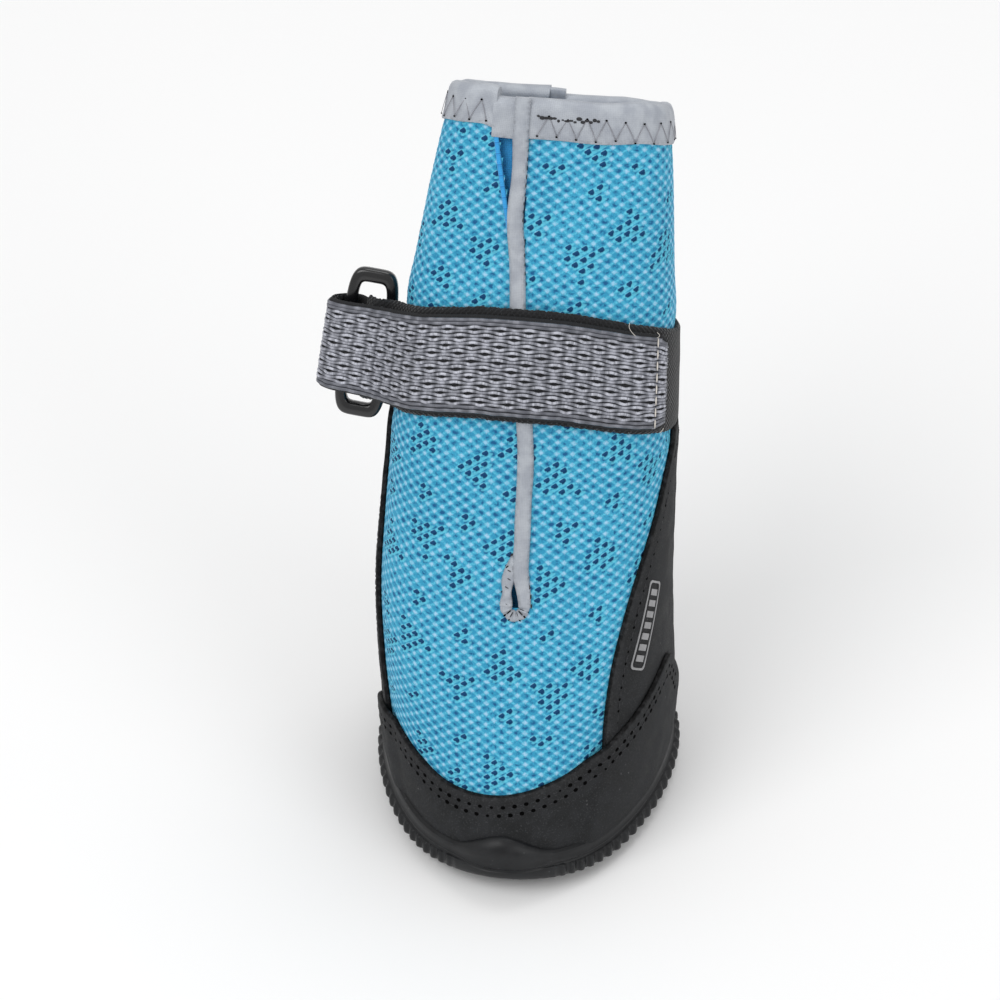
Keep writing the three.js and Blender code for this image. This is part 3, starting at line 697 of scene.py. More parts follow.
def woven_material(name, light, dark, pitch, roughness, depth=0.06, lint=0.0, **settings):
    made, tree, shader = start_material(name, **settings)
    chart = attribute(tree, "chart")["Vector"]
    yarn = use_group(tree, WEAVE, Chart=chart, Pitch=pitch)
    colour = blend_colour(tree, ramp(tree, yarn["Tone"], 0.3, 0.7), light,
                          [0.86 * v for v in light[:3]] + [1.0])
    colour = blend_colour(tree, yarn["Gap"], colour, dark)
    if lint:
        specks = use_group(tree, DUST, Place=chart, Size=1.1, Amount=lint)
        colour = blend_colour(tree, specks["Mask"], colour, tint(205, 205, 210))
    finish_material(tree, shader, colour, roughness, yarn["Height"], depth)
    return made


def leather_material():
    made, tree, shader = start_material("black_nubuck", Specular_IOR_Level=0.16)
    place = millimetres(tree)
    skin = use_group(tree, GRAIN, Place=place, Pitch=0.42, Pores=0.45)
    colour = blend_colour(tree, ramp(tree, skin["Tone"], 0.3, 0.7), tint(30, 31, 32),
                          tint(43, 44, 46))
    fleck = ramp(tree, noise(tree, place, 3.4, 2.0), 0.56, 0.72)
    colour = blend_colour(tree, calc(tree, "MULTIPLY", fleck, 0.5), colour,
                          tint(72, 73, 75))
    edge = attribute(tree, "edge")["Fac"]
    # Painted shade: the leather turns near black within half a millimetre of its rim and on its
    # inner face.
    colour = blend_colour(tree, ramp(tree, edge, 0.55, 0.2), colour, tint(8, 8, 9))
    rubbed = use_group(tree, WEAR, Place=place, Edge=edge, Reach=2.2)
    colour = blend_colour(tree, calc(tree, "MULTIPLY", rubbed["Mask"], 0.25), colour,
                          tint(80, 80, 82))
    specks = use_group(tree, DUST, Place=place, Size=1.6, Amount=0.35)
    colour = blend_colour(tree, specks["Mask"], colour, tint(150, 150, 152))
    rough = ramp(tree, skin["Tone"], 0.3, 0.7, 0.62, 0.8)
    finish_material(tree, shader, colour, rough, skin["Height"], 0.05)
    return made


def rubber_material():
    made, tree, shader = start_material("black_rubber", Specular_IOR_Level=0.3)
    place = millimetres(tree)
    skin = use_group(tree, GRAIN, Place=place, Pitch=0.5, Pores=0.12)
    colour = blend_colour(tree, ramp(tree, skin["Tone"], 0.35, 0.65), tint(20, 21, 23),
                          tint(29, 30, 32))
    specks = use_group(tree, DUST, Place=place, Size=1.4, Amount=0.3)
    colour = blend_colour(tree, specks["Mask"], colour, tint(120, 120, 122))
    rough = ramp(tree, skin["Tone"], 0.3, 0.7, 0.33, 0.48)
    finish_material(tree, shader, colour, rough, skin["Height"], 0.025)
    return made


def plain_material(name, colour, roughness, pitch=0.3, depth=0.01, **settings):
    made, tree, shader = start_material(name, **settings)
    place = millimetres(tree)
    skin = use_group(tree, GRAIN, Place=place, Pitch=pitch, Pores=0.1)
    varied = blend_colour(tree, ramp(tree, skin["Tone"], 0.3, 0.7), colour,
                          [0.8 * v for v in colour[:3]] + [1.0])
    finish_material(tree, shader, varied, roughness, skin["Height"], depth)
    return made


def tape_material():
    """Grey reflective tape: a fine smooth weave with soft wrinkles, painted lighter on the
    wrinkles' crests.
    """
    made, tree, shader = start_material("grey_tape", Metallic=0.15, Sheen_Weight=0.15,
                                        Specular_IOR_Level=0.4)
    chart = attribute(tree, "chart")["Vector"]
    yarn = use_group(tree, WEAVE, Chart=chart, Pitch=0.32)
    slow = noise(tree, chart, 0.22, 3.0, 0.6)
    # Painted highlight: the tape is lighter where the same noise raises its wrinkles.
    colour = blend_colour(tree, ramp(tree, slow, 0.35, 0.65), tint(158, 163, 172),
                          tint(176, 181, 188))
    colour = blend_colour(tree, calc(tree, "MULTIPLY", yarn["Gap"], 0.35), colour,
                          tint(120, 124, 134))
    edge = attribute(tree, "edge")["Fac"]
    worn = use_group(tree, WEAR, Place=chart, Edge=edge, Reach=0.9)
    colour = blend_colour(tree, calc(tree, "MULTIPLY", worn["Mask"], 0.7), colour,
                          tint(112, 116, 124))
    height = calc(tree, "ADD", calc(tree, "MULTIPLY", yarn["Height"], 0.25),
                  calc(tree, "MULTIPLY", slow, 2.2))
    finish_material(tree, shader, colour, 0.55, height, 0.12)
    return made


def yarn_material():
    """Silvery strap yarn: painted highlight on the floats beside the eyes, painted shade where it
    dives.
    """
    made, tree, shader = start_material("grey_yarn", Metallic=0.3, Specular_IOR_Level=0.5)
    chart = attribute(tree, "chart")["Vector"]
    lift = attribute(tree, "lift")["Fac"]
    fibres = node(tree, "VectorMath", {0: chart, 1: (0.8, 7.0, 1.0)}, operation="MULTIPLY")
    strands = noise(tree, fibres.outputs[0], 1.0, 3.0, 0.6)
    # Painted light: lift runs the yarn from painted shade where it dives to painted highlight on
    # its floats.
    colour = blend_colour(tree, ramp(tree, lift, 0.05, 0.75), tint(82, 84, 92),
                          tint(190, 192, 202))
    colour = blend_colour(tree, ramp(tree, strands, 0.42, 0.62, 0.0, 0.55), colour,
                          tint(88, 90, 98))
    patches = noise(tree, chart, 0.18, 3.0)
    colour = blend_colour(tree, ramp(tree, patches, 0.5, 0.75, 0.0, 0.3), colour,
                          tint(92, 94, 100))
    finish_material(tree, shader, colour, 0.45, strands, 0.05)
    return made


MESH_FABRIC = mesh_fabric_material()
LEATHER_SKIN = leather_material()
RUBBER = rubber_material()
TAPE_CLOTH = tape_material()
TRICOT = woven_material("blue_tricot", tint(46, 160, 226), tint(24, 120, 190), 0.42, 0.75,
                        0.05, Sheen_Weight=0.2)
LINING = woven_material("lining_blue", tint(52, 128, 168), tint(20, 70, 104), 0.7, 0.85)
YARN = yarn_material()
STRAP_BASE = woven_material("strap_base", tint(24, 25, 28), tint(8, 8, 9), 0.5, 0.85)
PILE = woven_material("black_pile", tint(24, 25, 28), tint(6, 6, 7), 0.55, 0.95, 0.2, 0.55,
                      Sheen_Weight=0.15)
BLACK_WEB = woven_material("black_webbing", tint(30, 31, 34), tint(8, 8, 9), 0.8, 0.85,
                           0.12, 0.2)
PLASTIC = plain_material("black_plastic", tint(18, 18, 20), 0.24, 0.9, 0.008,
                         Coat_Weight=0.3, Coat_Roughness=0.12)
FOAM = plain_material("black_foam", tint(44, 46, 50), 0.95, 0.8, 0.1)
DARK_THREAD = plain_material("dark_thread", tint(34, 34, 38), 0.7)
GREY_THREAD = plain_material("grey_thread", tint(142, 142, 150), 0.65)
CREAM_THREAD = plain_material("cream_thread", tint(214, 208, 200), 0.7)
# Painted shade: near-black beads stand in for the dark inside of needle holes and of the puckers
# round the throat tape's turn.
NEEDLE_HOLE_SHADE = plain_material("needle_hole_shade", tint(3, 3, 3), 0.95, Specular_IOR_Level=0.05)
BADGE_FILM = plain_material("badge_film", tint(150, 150, 152), 0.45, Metallic=0.2)


# ------------------------------------------------------------------ more mesh tools

def ripple(u, v, pitch, seed):
    """Slow uneven waves between about -1 and 1."""
    random = np.random.default_rng(seed)
    total = np.zeros(np.broadcast(u, v).shape)
    for _ in range(7):
        turn, phase = random.uniform(0, 2 * np.pi, 2)
        rate = 2 * np.pi / (pitch * random.uniform(0.6, 1.6))
        total = total + np.sin(rate * (u * np.cos(turn) + v * np.sin(turn)) + phase)
    return total / 3.5


def loft(sections, closed=False):
    """Points and faces of a solid through rings of points; open ends are capped."""
    count, around = sections.shape[:2]
    points = sections.reshape(-1, 3)
    i, k = np.meshgrid(np.arange(count if closed else count - 1), np.arange(around),
                       indexing="ij")
    n, m = (i + 1) % count, (k + 1) % around
    quads = np.stack([i * around + k, i * around + m, n * around + m, n * around + k], -1)
    quads = quads.reshape(-1, 4)
    if closed:
        return points, outward(points, [quads])
    points = np.concatenate([points, sections[0].mean(0)[None], sections[-1].mean(0)[None]])
    k = np.arange(around)
    m = (k + 1) % around
    start, end, last = len(points) - 2, len(points) - 1, (count - 1) * around
    caps = np.concatenate([
        np.stack([m, k, np.full(around, start)], -1),
        np.stack([last + k, last + m, np.full(around, end)], -1),
    ])
    return points, outward(points, [quads, caps])


def tube_along(path, normals, half_width, half_height, sides=8):
    """Rings of an oval tube on a line of points; the height lies along the normals."""
    ahead = unit(np.gradient(path, axis=0))
    side = unit(np.cross(ahead, normals))
    up = unit(np.cross(side, ahead))
    turn = np.arange(sides) * 2 * np.pi / sides
    c, s = np.cos(turn), np.sin(turn)
    half_width = np.broadcast_to(half_width, len(path))[:, None, None]
    half_height = np.broadcast_to(half_height, len(path))[:, None, None]
    return (
        path[:, None] + side[:, None] * c[None, :, None] * half_width
        + up[:, None] * s[None, :, None] * half_height
    )


def join_lofts(lofts):
    """One mesh's points and faces from several lofts."""
    points, quads, caps, start = [], [], [], 0
    for made, faces in lofts:
        points.append(made)
        quads.append(faces[0] + start)
        if len(faces) > 1:
            caps.append(faces[1] + start)
        start += len(made)
    groups = [np.concatenate(quads)]
    if caps:
        groups.append(np.concatenate(caps))
    return np.concatenate(points), groups


# ------------------------------------------------------------------ air-mesh fabric

COLUMN_STEP = KNIT_COLUMN / 2
ROW_STEP = KNIT_ROW / 4
FABRIC_TOP = TOP - 2.5
CLUSTER_WIDTH = 9.3
CLUSTER_HEIGHT = 11.0
BIG_CLUSTER = 2.55
SMALL_CLUSTER = 1.4
LEFT_PANEL_BACK = 4.0


def left_panel_edge(level):
    """Where the panel on the -X side ends beside the slit, in millimetres from its line."""
    return -1.1 - LEFT_PANEL_BACK * np.clip((level - 122) / 18, 0, 1)


def under_leather(angle, level):
    degrees = fold_angle(angle)
    toe = level < lookup(TOE_CAP_EDGE, "angle", "level", degrees) - 3
    right = degrees > lookup(QUARTER_RIGHT, "level", "angle", level) + 4
    left = degrees < -lookup(QUARTER_LEFT, "level", "angle", level) - 4
    return toe | ((right | left) & (level < QUARTER_TOP - 3))


def fabric_grid():
    """Angles and levels of the fabric's grid and its charted millimetres."""
    rows = np.arange(0, (FABRIC_TOP - BOTTOM) * FRONT_RISE / ROW_STEP)
    levels = BOTTOM + rows * ROW_STEP / FRONT_RISE
    dense = np.linspace(0, np.pi, 241)
    steps = np.linalg.norm(np.diff(bare(dense[:, None], levels[None, :]), axis=0), axis=2)
    lengths = np.concatenate([np.zeros((1, len(levels))), np.cumsum(steps, axis=0)])
    half = int(np.ceil(lengths[-1].max() / COLUMN_STEP))
    columns = np.arange(-half, half + 1)
    u = columns * COLUMN_STEP
    angles = np.stack([
        np.sign(u) * np.interp(np.abs(u), lengths[:, j], dense) for j in range(len(levels))
    ], axis=1)
    return columns, rows.astype(int), angles, np.broadcast_to(levels, angles.shape), lengths[-1]


def open_points(columns, rows):
    """Which points of the fabric's grid are open holes of the triangular clusters."""
    u = columns[:, None] * COLUMN_STEP
    v = rows[None, :] * ROW_STEP
    even = (columns[:, None] % 4 == 0) & (rows[None, :] % 4 == 0)
    odd = (columns[:, None] % 4 == 2) & (rows[None, :] % 4 == 2)
    random = np.random.default_rng(11)
    inside = np.zeros((len(columns), len(rows)), bool)
    wide = int(abs(u).max() / CLUSTER_WIDTH) + 1
    tall = int(v.max() / CLUSTER_HEIGHT) + 2
    for a in range(-wide, wide + 1):
        for b in range(tall):
            big = (a + b) % 2 == 0
            centre_u = a * CLUSTER_WIDTH + random.uniform(-1.3, 1.3)
            centre_v = (b + 0.5 * (a % 2)) * CLUSTER_HEIGHT + random.uniform(-1.6, 1.6)
            turn = random.choice([0.5, 1.0, 1.5, 2.0]) * np.pi + random.uniform(-0.12, 0.12)
            size = (BIG_CLUSTER if big else SMALL_CLUSTER) * random.uniform(0.85, 1.12)
            far = np.full(inside.shape, -np.inf)
            for k in range(3):
                way = turn + k * 2 * np.pi / 3
                far = np.maximum(far, (u - centre_u) * np.cos(way)
                                 + (v - centre_v) * np.sin(way))
            inside |= far < size
    return inside & (even | odd), even | odd


def air_mesh():
    columns, rows, angles, levels, half_round = fabric_grid()
    holes, dots = open_points(columns, rows)
    relief = np.where(dots, 0.05, -0.02)
    relief[holes] = -0.42
    wide = holes.copy()
    for shift, axis in ((1, 0), (-1, 0), (1, 1), (-1, 1)):
        wide |= np.roll(holes, shift, axis)
    relief = np.where(wide & ~holes, 0.04, relief)
    points = surface(angles, levels, relief)
    count = len(rows)
    faces = grid_faces(len(columns), count)
    i, j = faces[:, 0] // count, faces[:, 0] % count
    beyond = np.minimum(np.abs(columns[i]), np.abs(columns[i + 1])) * COLUMN_STEP
    keep = beyond < half_round[j]
    angle = angles[i, j]
    level = levels[i, j]
    across_slit = slit_mm(angle, level)
    opening = 0.7 * (level < SLIT_END + 6)
    in_slit = (level > SLIT_END - 0.3) & (across_slit < 1.2 + 0.3 * opening)
    in_slit &= across_slit > left_panel_edge(level) - opening
    keep &= ~in_slit & ~under_leather(angle, level)
    faces = faces[keep]
    used = np.unique(faces)
    index = np.full(points.shape[0] * points.shape[1], -1)
    index[used] = np.arange(len(used))
    chart = stack(columns[:, None] * COLUMN_STEP, rows[None, :] * ROW_STEP, 0.0)
    made = mesh_object(
        "upper_air_mesh", points.reshape(-1, 3)[used], index[faces], MESH_FABRIC,
        {"chart": chart.reshape(-1, 3)[used], "open": wide.ravel()[used].astype(float)})
    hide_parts("upper")


def lining():
    """The smooth inner face of the upper, open along the slit."""
    levels = np.linspace(BOTTOM, TOP - 1, 90)
    across_share = np.linspace(0, 1, 181)
    start = slit_angle(levels, 1.6)
    end = 2 * np.pi + slit_angle(levels, -1.6)
    below = smooth(levels, SLIT_END - 1.5, SLIT_END)
    middle = slit_angle(levels, 0.0)
    start = mix(middle, start, below)
    end = mix(2 * np.pi + middle, end, below)
    angles = mix(start[None, :], end[None, :], across_share[:, None])
    grid_levels = np.broadcast_to(levels, angles.shape)
    points = surface(angles, grid_levels, -WALL)
    chart = stack(angles * 27, grid_levels * FRONT_RISE, 0.0).reshape(-1, 3)
    mesh_object("upper_lining", points.reshape(-1, 3),
                grid_faces(len(across_share), len(levels), flip=True), LINING,
                {"chart": chart})


def gusset():
    """The thin blue tongue behind the slit."""
    levels = np.linspace(SLIT_END - 4, TOP - 1.5, 80)
    mm = np.linspace(-10, 10, 29)
    side, level = np.meshgrid(mm, levels, indexing="ij")
    bow = 1.25 * np.maximum(1 - smooth(np.abs(side), 4.4, 8), smooth(level, TOP - 17, TOP - 11))
    face = -WALL - GAP - bow
    forward = 1.9 * smooth(level, 112, 122) * smooth(-side, -0.5, 1.5)
    forward = forward * (1 - smooth(-side, 6.5, 8.5))
    angle = slit_angle(level, side)
    outer = surface(angle, level, face + forward + 0.12 * ripple(side, level * 0.5, 5, 3))
    inner = surface(angle, level, face + forward - 0.6)
    points, faces = two_sided(outer, inner)
    chart = stack(side, level * FRONT_RISE, 0.0).reshape(-1, 3)
    made = mesh_object("gusset_tricot", points, faces, TRICOT,
                       {"chart": np.concatenate([chart, chart])})
    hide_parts("gusset")


# ------------------------------------------------------------------ leather

def leather_sheet(name, replaced, angles, levels, low, edge):
    """A leather panel on grids of angles and levels; edge is the distance in from its rim."""
    crown = LEATHER * (0.35 + 0.65 * rounded(edge, 0.75))
    uneven = 0.07 * ripple(np.degrees(angles) * 0.47, levels, 6, 21) * smooth(edge, 0.5, 2)
    outer = surface(angles, levels, low + crown + uneven)
    inner = surface(angles, levels, low)
    points, faces = two_sided(outer, inner)
    flat = edge.ravel()
    made = mesh_object(name, points, faces, LEATHER_SKIN,
                       {"edge": np.concatenate([flat, 0 * flat])})
    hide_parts(replaced)


def toe_cap_stand(angle):
    """How far the toe cap's inner face stands off: it steps out over the heel panel."""
    degrees = fold_angle(angle)
    step = np.maximum(smooth(degrees, 33, 42), smooth(-degrees, 56, 66))
    return 0.12 + step * 1.05


def toe_cap_edge(degrees):
    return lookup(TOE_CAP_EDGE, "angle", "level", degrees)


def toe_cap():
    share = with_edges(200, 190, 0.9)
    degrees = mix(TOE_CAP_EDGE["angle"][0], TOE_CAP_EDGE["angle"][-1], share)
    up = with_edges(26, 14, 0.9)
    angle = np.radians(degrees)[:, None] + 0 * up[None, :]
    low_level = rim_level(np.radians(degrees)) - 0.6
    height = toe_cap_edge(degrees) - low_level
    level = low_level[:, None] + height[:, None] * up[None, :]
    to_top = (1 - up[None, :]) * height[:, None] * FRONT_RISE
    to_side = np.minimum(share, 1 - share)[:, None] * 107
    edge = np.minimum(to_top, to_side)
    leather_sheet("toe_cap_leather", "toe_cap", angle, level, toe_cap_stand(angle), edge)
    for row, inset in enumerate((2.5, 4.4)):

        def path(t, inset=inset):
            degrees = mix(-86, 92, t)
            slope = (toe_cap_edge(degrees + 1) - toe_cap_edge(degrees - 1)) / 0.94
            drop = inset * np.sqrt(1 + slope ** 2 / 1.2) / FRONT_RISE
            level = toe_cap_edge(degrees) - drop
            return np.radians(degrees), np.maximum(level, rim_level(np.radians(degrees)) + 1)

        stitch_line(f"toe_cap_row_{row + 1}", path, 2.3, DARK_THREAD,
                    NEEDLE_HOLE_SHADE, thread=(0.4, 0.13, 0.12), hole=0.5,
                    stand=lambda angle: toe_cap_stand(angle) + LEATHER)


QUARTER_LOW = 0.1


def quarter_face(angle):
    return QUARTER_LOW + LEATHER + 0 * angle


def quarter_edges(level):
    right = lookup(QUARTER_RIGHT, "level", "angle", level)
    return right, 360 - lookup(QUARTER_LEFT, "level", "angle", level)


def quarter_row(name, path):
    stitch_line(name, path, 2.4, DARK_THREAD, NEEDLE_HOLE_SHADE,
                thread=(0.55, 0.14, 0.1), hole=0.3, stand=quarter_face)


def quarter():
    across_share = with_edges(190, 110, 0.9)
    up = with_edges(70, 75, 0.9)
    level = mix(RIM_LEVEL - 0.4, QUARTER_TOP, up)
    right, left = quarter_edges(level)
    degrees = right[None, :] + (left - right)[None, :] * across_share[:, None]
    levels = np.broadcast_to(level, degrees.shape)
    width = (left - right)[None, :] * 0.5
    to_side = np.minimum(across_share, 1 - across_share)[:, None] * width
    to_top = (1 - up)[None, :] * 78
    edge = np.minimum(to_side, to_top)
    leather_sheet("quarter_leather", "quarter", np.radians(degrees), levels, QUARTER_LOW, edge)

    def front_path(inset, low, high, side):
        def path(t):
            level = mix(low, high, t)
            right, left = quarter_edges(level)
            lean = (quarter_edges(level + 1)[0] - quarter_edges(level - 1)[0]) * 0.5 / 2
            away = inset * np.sqrt(1 + (lean * 0.9) ** 2) / 0.5
            degrees = right + away if side > 0 else left - away
            return np.radians(degrees), level
        return path

    quarter_row("quarter_row_right_outer", front_path(3.0, 22, 80, 1))
    quarter_row("quarter_row_left_outer", front_path(3.0, 20, 80, -1))

    def top_path(t):
        level = QUARTER_TOP - 3
        right, left = quarter_edges(level)
        return np.radians(mix(right + 4, left - 4, t)), np.full_like(t, level)

    quarter_row("quarter_row_top", top_path)

    for name, offset in (("heel_row_right", -1.4), ("heel_row_left", 1.4)):

        def beside_seam(t, offset=offset):
            angle = np.full_like(t, np.pi) + np.radians(offset / 0.5)
            return angle, mix(RIM_LEVEL + 2, 80, t)

        quarter_row(name, beside_seam)


# A badge without lettering: a leaning frame with plain bars, run up the outer side.
BADGE = dict(angle=60.5, level=48.5, length=17.0, height=5.0, lean=0.28, turn=1.30)


def badge():
    centre_angle = math.radians(BADGE["angle"])
    level = BADGE["level"]
    near = surface(centre_angle + 0.01, level) - surface(centre_angle - 0.01, level)
    per_mm = 0.02 / np.linalg.norm(near)
    up = surface(centre_angle, level + 0.5) - surface(centre_angle, level - 0.5)
    level_per_mm = 1 / np.linalg.norm(up)
    cos, sin = math.cos(BADGE["turn"]), math.sin(BADGE["turn"])

    def place(a, b, stand):
        a, b = np.asarray(a) + BADGE["lean"] * np.asarray(b), np.asarray(b)
        x, y = a * cos - b * sin, a * sin + b * cos
        return surface(centre_angle + x * per_mm, level + y * level_per_mm, stand)

    stand = QUARTER_LOW + 1.05
    half, tall, corner = BADGE["length"] / 2, BADGE["height"] / 2, 0.9
    lofts = []
    corners = [(half - corner, tall - corner), (corner - half, tall - corner),
               (corner - half, corner - tall), (half - corner, corner - tall)]
    outline = []
    for k, (x, y) in enumerate(corners):
        for t in np.linspace(0, np.pi / 2, 6):
            outline.append((x + corner * math.cos(t + k * np.pi / 2),
                            y + corner * math.sin(t + k * np.pi / 2)))
        x2, y2 = corners[(k + 1) % 4]
        end = outline[-1]
        t = (k + 1) * np.pi / 2
        nxt = (x2 + corner * math.cos(t), y2 + corner * math.sin(t))
        for s in np.linspace(0, 1, 14)[1:-1]:
            outline.append((mix(end[0], nxt[0], s), mix(end[1], nxt[1], s)))
    outline = np.array(outline)
    thin = 0.1
    inner = outline * [(half - 0.42) / half, (tall - 0.42) / tall]
    ring = np.stack([
        place(outline[:, 0], outline[:, 1], stand - 0.03),
        place(outline[:, 0], outline[:, 1], stand + thin),
        place(inner[:, 0], inner[:, 1], stand + thin),
        place(inner[:, 0], inner[:, 1], stand - 0.03),
    ], axis=1)
    lofts.append(loft(ring, closed=True))
    for middle in np.linspace(-6.3, 6.3, 7):
        a = np.linspace(middle - 0.6, middle + 0.6, 5)
        b = 1.35
        ring = np.stack([
            place(a, -b, stand - 0.03), place(a, b, stand - 0.03),
            place(a, b, stand + thin), place(a, -b, stand + thin),
        ], axis=1)
        lofts.append(loft(ring))
    points, faces = join_lofts(lofts)
    mesh_object("badge", points, faces, BADGE_FILM, sharp=40)


# ------------------------------------------------------------------ collar tape and slit tape

# The folded collar tape's cross-section, from its lower outer edge over the top to the lining:
# how far each station lies above the collar's edge and off the upper.
TAPE_FOLD = table(
    "above stand",
    (-6.4, 0.10), (-6.4, 0.50), (-6.1, 0.66), (-5.4, 0.60), (-4.2, 0.70), (-3.0, 0.74),
    (-1.8, 0.80), (-0.7, 0.74), (0.0, 0.46), (0.45, -0.15), (0.6, -0.9), (0.5, -1.7),
    (0.1, -2.35), (-0.7, -2.70), (-3.5, -2.75), (-6.4, -2.75), (-6.4, -2.25), (-3.5, -2.2),
    (-0.9, -2.1), (-0.35, -1.2), (-0.6, -0.2), (-1.4, 0.12), (-4.0, 0.10),
)
TAPE_LOW = TAPE_FOLD["above"][0]
COLLAR_JOINT = 0.12
COLLAR_RADIUS = 21


def fold_tape(name, start_mm, end, top_shift, seed, columns=150):
    """Folded tape on the collar from beside the slit to an angle, with a top edge's shift."""
    rings, charts, edges = [], [], []
    away = np.cumsum(np.hypot(np.diff(TAPE_FOLD["above"], prepend=TAPE_LOW),
                              np.diff(TAPE_FOLD["stand"], prepend=0.1)))
    for t in np.linspace(0, 1, columns):
        level = TOP + TAPE_FOLD["above"]
        angle = mix(slit_angle(level, start_mm(level)), end(level), t)
        shift = top_shift(angle)
        wave = 0.14 * ripple(angle * COLLAR_RADIUS, TAPE_FOLD["above"], 7, seed)
        sag = 0.25 * ripple(angle * COLLAR_RADIUS, 0 * angle, 16, seed + 1)
        rings.append(surface(angle, level + shift + sag, TAPE_FOLD["stand"] + wave))
        charts.append(stack(angle * COLLAR_RADIUS, away, 0.0))
        edges.append(np.minimum(TAPE_FOLD["above"] - TAPE_LOW, 4.0))
    points, faces = loft(np.array(rings))
    chart = np.concatenate(charts + [charts[0][:1], charts[-1][:1]])
    edge = np.concatenate(edges + [np.zeros(2)])
    return mesh_object(name, points, faces, TAPE_CLOTH,
                       {"chart": chart, "edge": edge}, sharp=55)


def left_shift(angle):
    """The collar's left half stands a little higher than its right half."""
    degrees = np.degrees(angle)
    return 1.5 * smooth(-degrees, 15, 32) - 0.35


def right_shift(angle):
    return -0.55 - 0.35 * np.cos(angle)


def zigzag(name, start, end, shift, pitch, low, high):
    """Zigzag sewing on the collar tape with dark needle dots of painted shade at its tips."""
    dense = np.linspace(start, end, 400)
    line = surface(dense, TOP - 5.0, 0.7)
    length = np.concatenate([[0], np.cumsum(np.linalg.norm(np.diff(line, axis=0), axis=1))])
    count = int(length[-1] / (pitch / 2))
    tips = np.interp(np.linspace(0, length[-1], count + 1), length, dense)
    heights = np.where(np.arange(count + 1) % 2 == 0, low, high)
    wander = RNG.uniform(-0.25, 0.25, count + 1)
    level = TOP + heights + wander + shift(tips)
    dots = surface(tips, level, 0.84)
    lofts = []
    for k in range(count):
        t = np.linspace(0.04, 0.96, 9)
        bow = 0.05 * np.sin(np.pi * t)
        angle = mix(tips[k], tips[k + 1], t + bow * (1 if k % 2 else -1))
        path_level = mix(level[k], level[k + 1], t)
        path = surface(angle, path_level, 0.86)
        lofts.append(loft(tube_along(path, normals_at(angle, path_level), 0.075, 0.06, 6)))
    points, faces = join_lofts(lofts)
    mesh_object(name + "_thread", points, faces, GREY_THREAD)
    ahead = surface(tips + 0.01, level) - surface(tips, level)
    beads(name + "_holes", dots, ahead, normals_at(tips, level), (0.24, 0.2, 0.12),
          NEEDLE_HOLE_SHADE)


def collar():
    joint = np.pi + COLLAR_JOINT
    right = fold_tape("collar_tape_right", lambda level: 0 * level + 1.5,
                      lambda level: joint + 0 * level, right_shift, 31)
    left = fold_tape("collar_tape_left", lambda level: left_panel_edge(level) - 0.1,
                     lambda level: joint - 2 * np.pi + 0 * level, left_shift, 37)
    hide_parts("collar_binding")
    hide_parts("collar_binding")
    fold_tape("collar_tape_tongue", lambda level: 0 * level - 5.7,
              lambda level: slit_angle(level, -0.4), lambda angle: 0 * angle - 1.2, 41,
              columns=16)
    start = float(slit_angle(TOP, 4.2))
    zigzag("collar_zigzag_right", start, joint - 0.05, right_shift, 3.6, -5.9, -2.5)
    start = float(slit_angle(TOP, -6.6))
    zigzag("collar_zigzag_left", start, joint - 2 * np.pi + 0.05, left_shift, 3.4, -5.9, -2.2)

    # A bar of overlapping stitches where the tape's fold is tacked beside the slit.
    t = np.linspace(0, 1, 16)
    angle = mix(slit_angle(TOP, 4.0), slit_angle(TOP, 15.5), t)
    level = TOP - 2.7 + RNG.uniform(-0.35, 0.35, 16) + right_shift(angle)
    ahead = surface(angle + 0.01, level) - surface(angle, level)
    beads("collar_tack", surface(angle, level, 0.86), ahead, normals_at(angle, level),
          np.stack([RNG.uniform(0.25, 0.62, 16), RNG.uniform(0.2, 0.38, 16),
                    np.full(16, 0.12)], -1), DARK_THREAD)

    # The tape's cut end stands up as a small tab behind the rim.
    s = np.linspace(-1, 1, 9)
    ring = []
    for k in s:
        angle = np.pi + COLLAR_JOINT - 0.03 + k * 0.09 + np.zeros(8)
        above = np.array([-3.0, 0.6, 1.5, 1.75, 1.75, 1.5, 0.6, -3.0]) * (1 - 0.05 * k * k)
        stand = np.array([-2.2, -2.2, -2.1, -1.9, -1.1, -0.9, -0.8, -0.8]) + 0.1 * k
        ring.append(surface(angle, TOP + above, stand))
    points, faces = loft(np.array(ring))
    chart = np.concatenate([points[:, :2], 0 * points[:, :1]], 1)
    mesh_object("collar_tab", points, faces, TAPE_CLOTH,
                {"chart": chart, "edge": np.full(len(points), 2.0)}, sharp=50)


def chart_point(mm, up, stand):
    """A point beside the slit: mm across from its line, up from its lower end."""
    level = SLIT_END + np.asarray(up, float) / FRONT_RISE
    return surface(slit_angle(level, mm), level, stand)


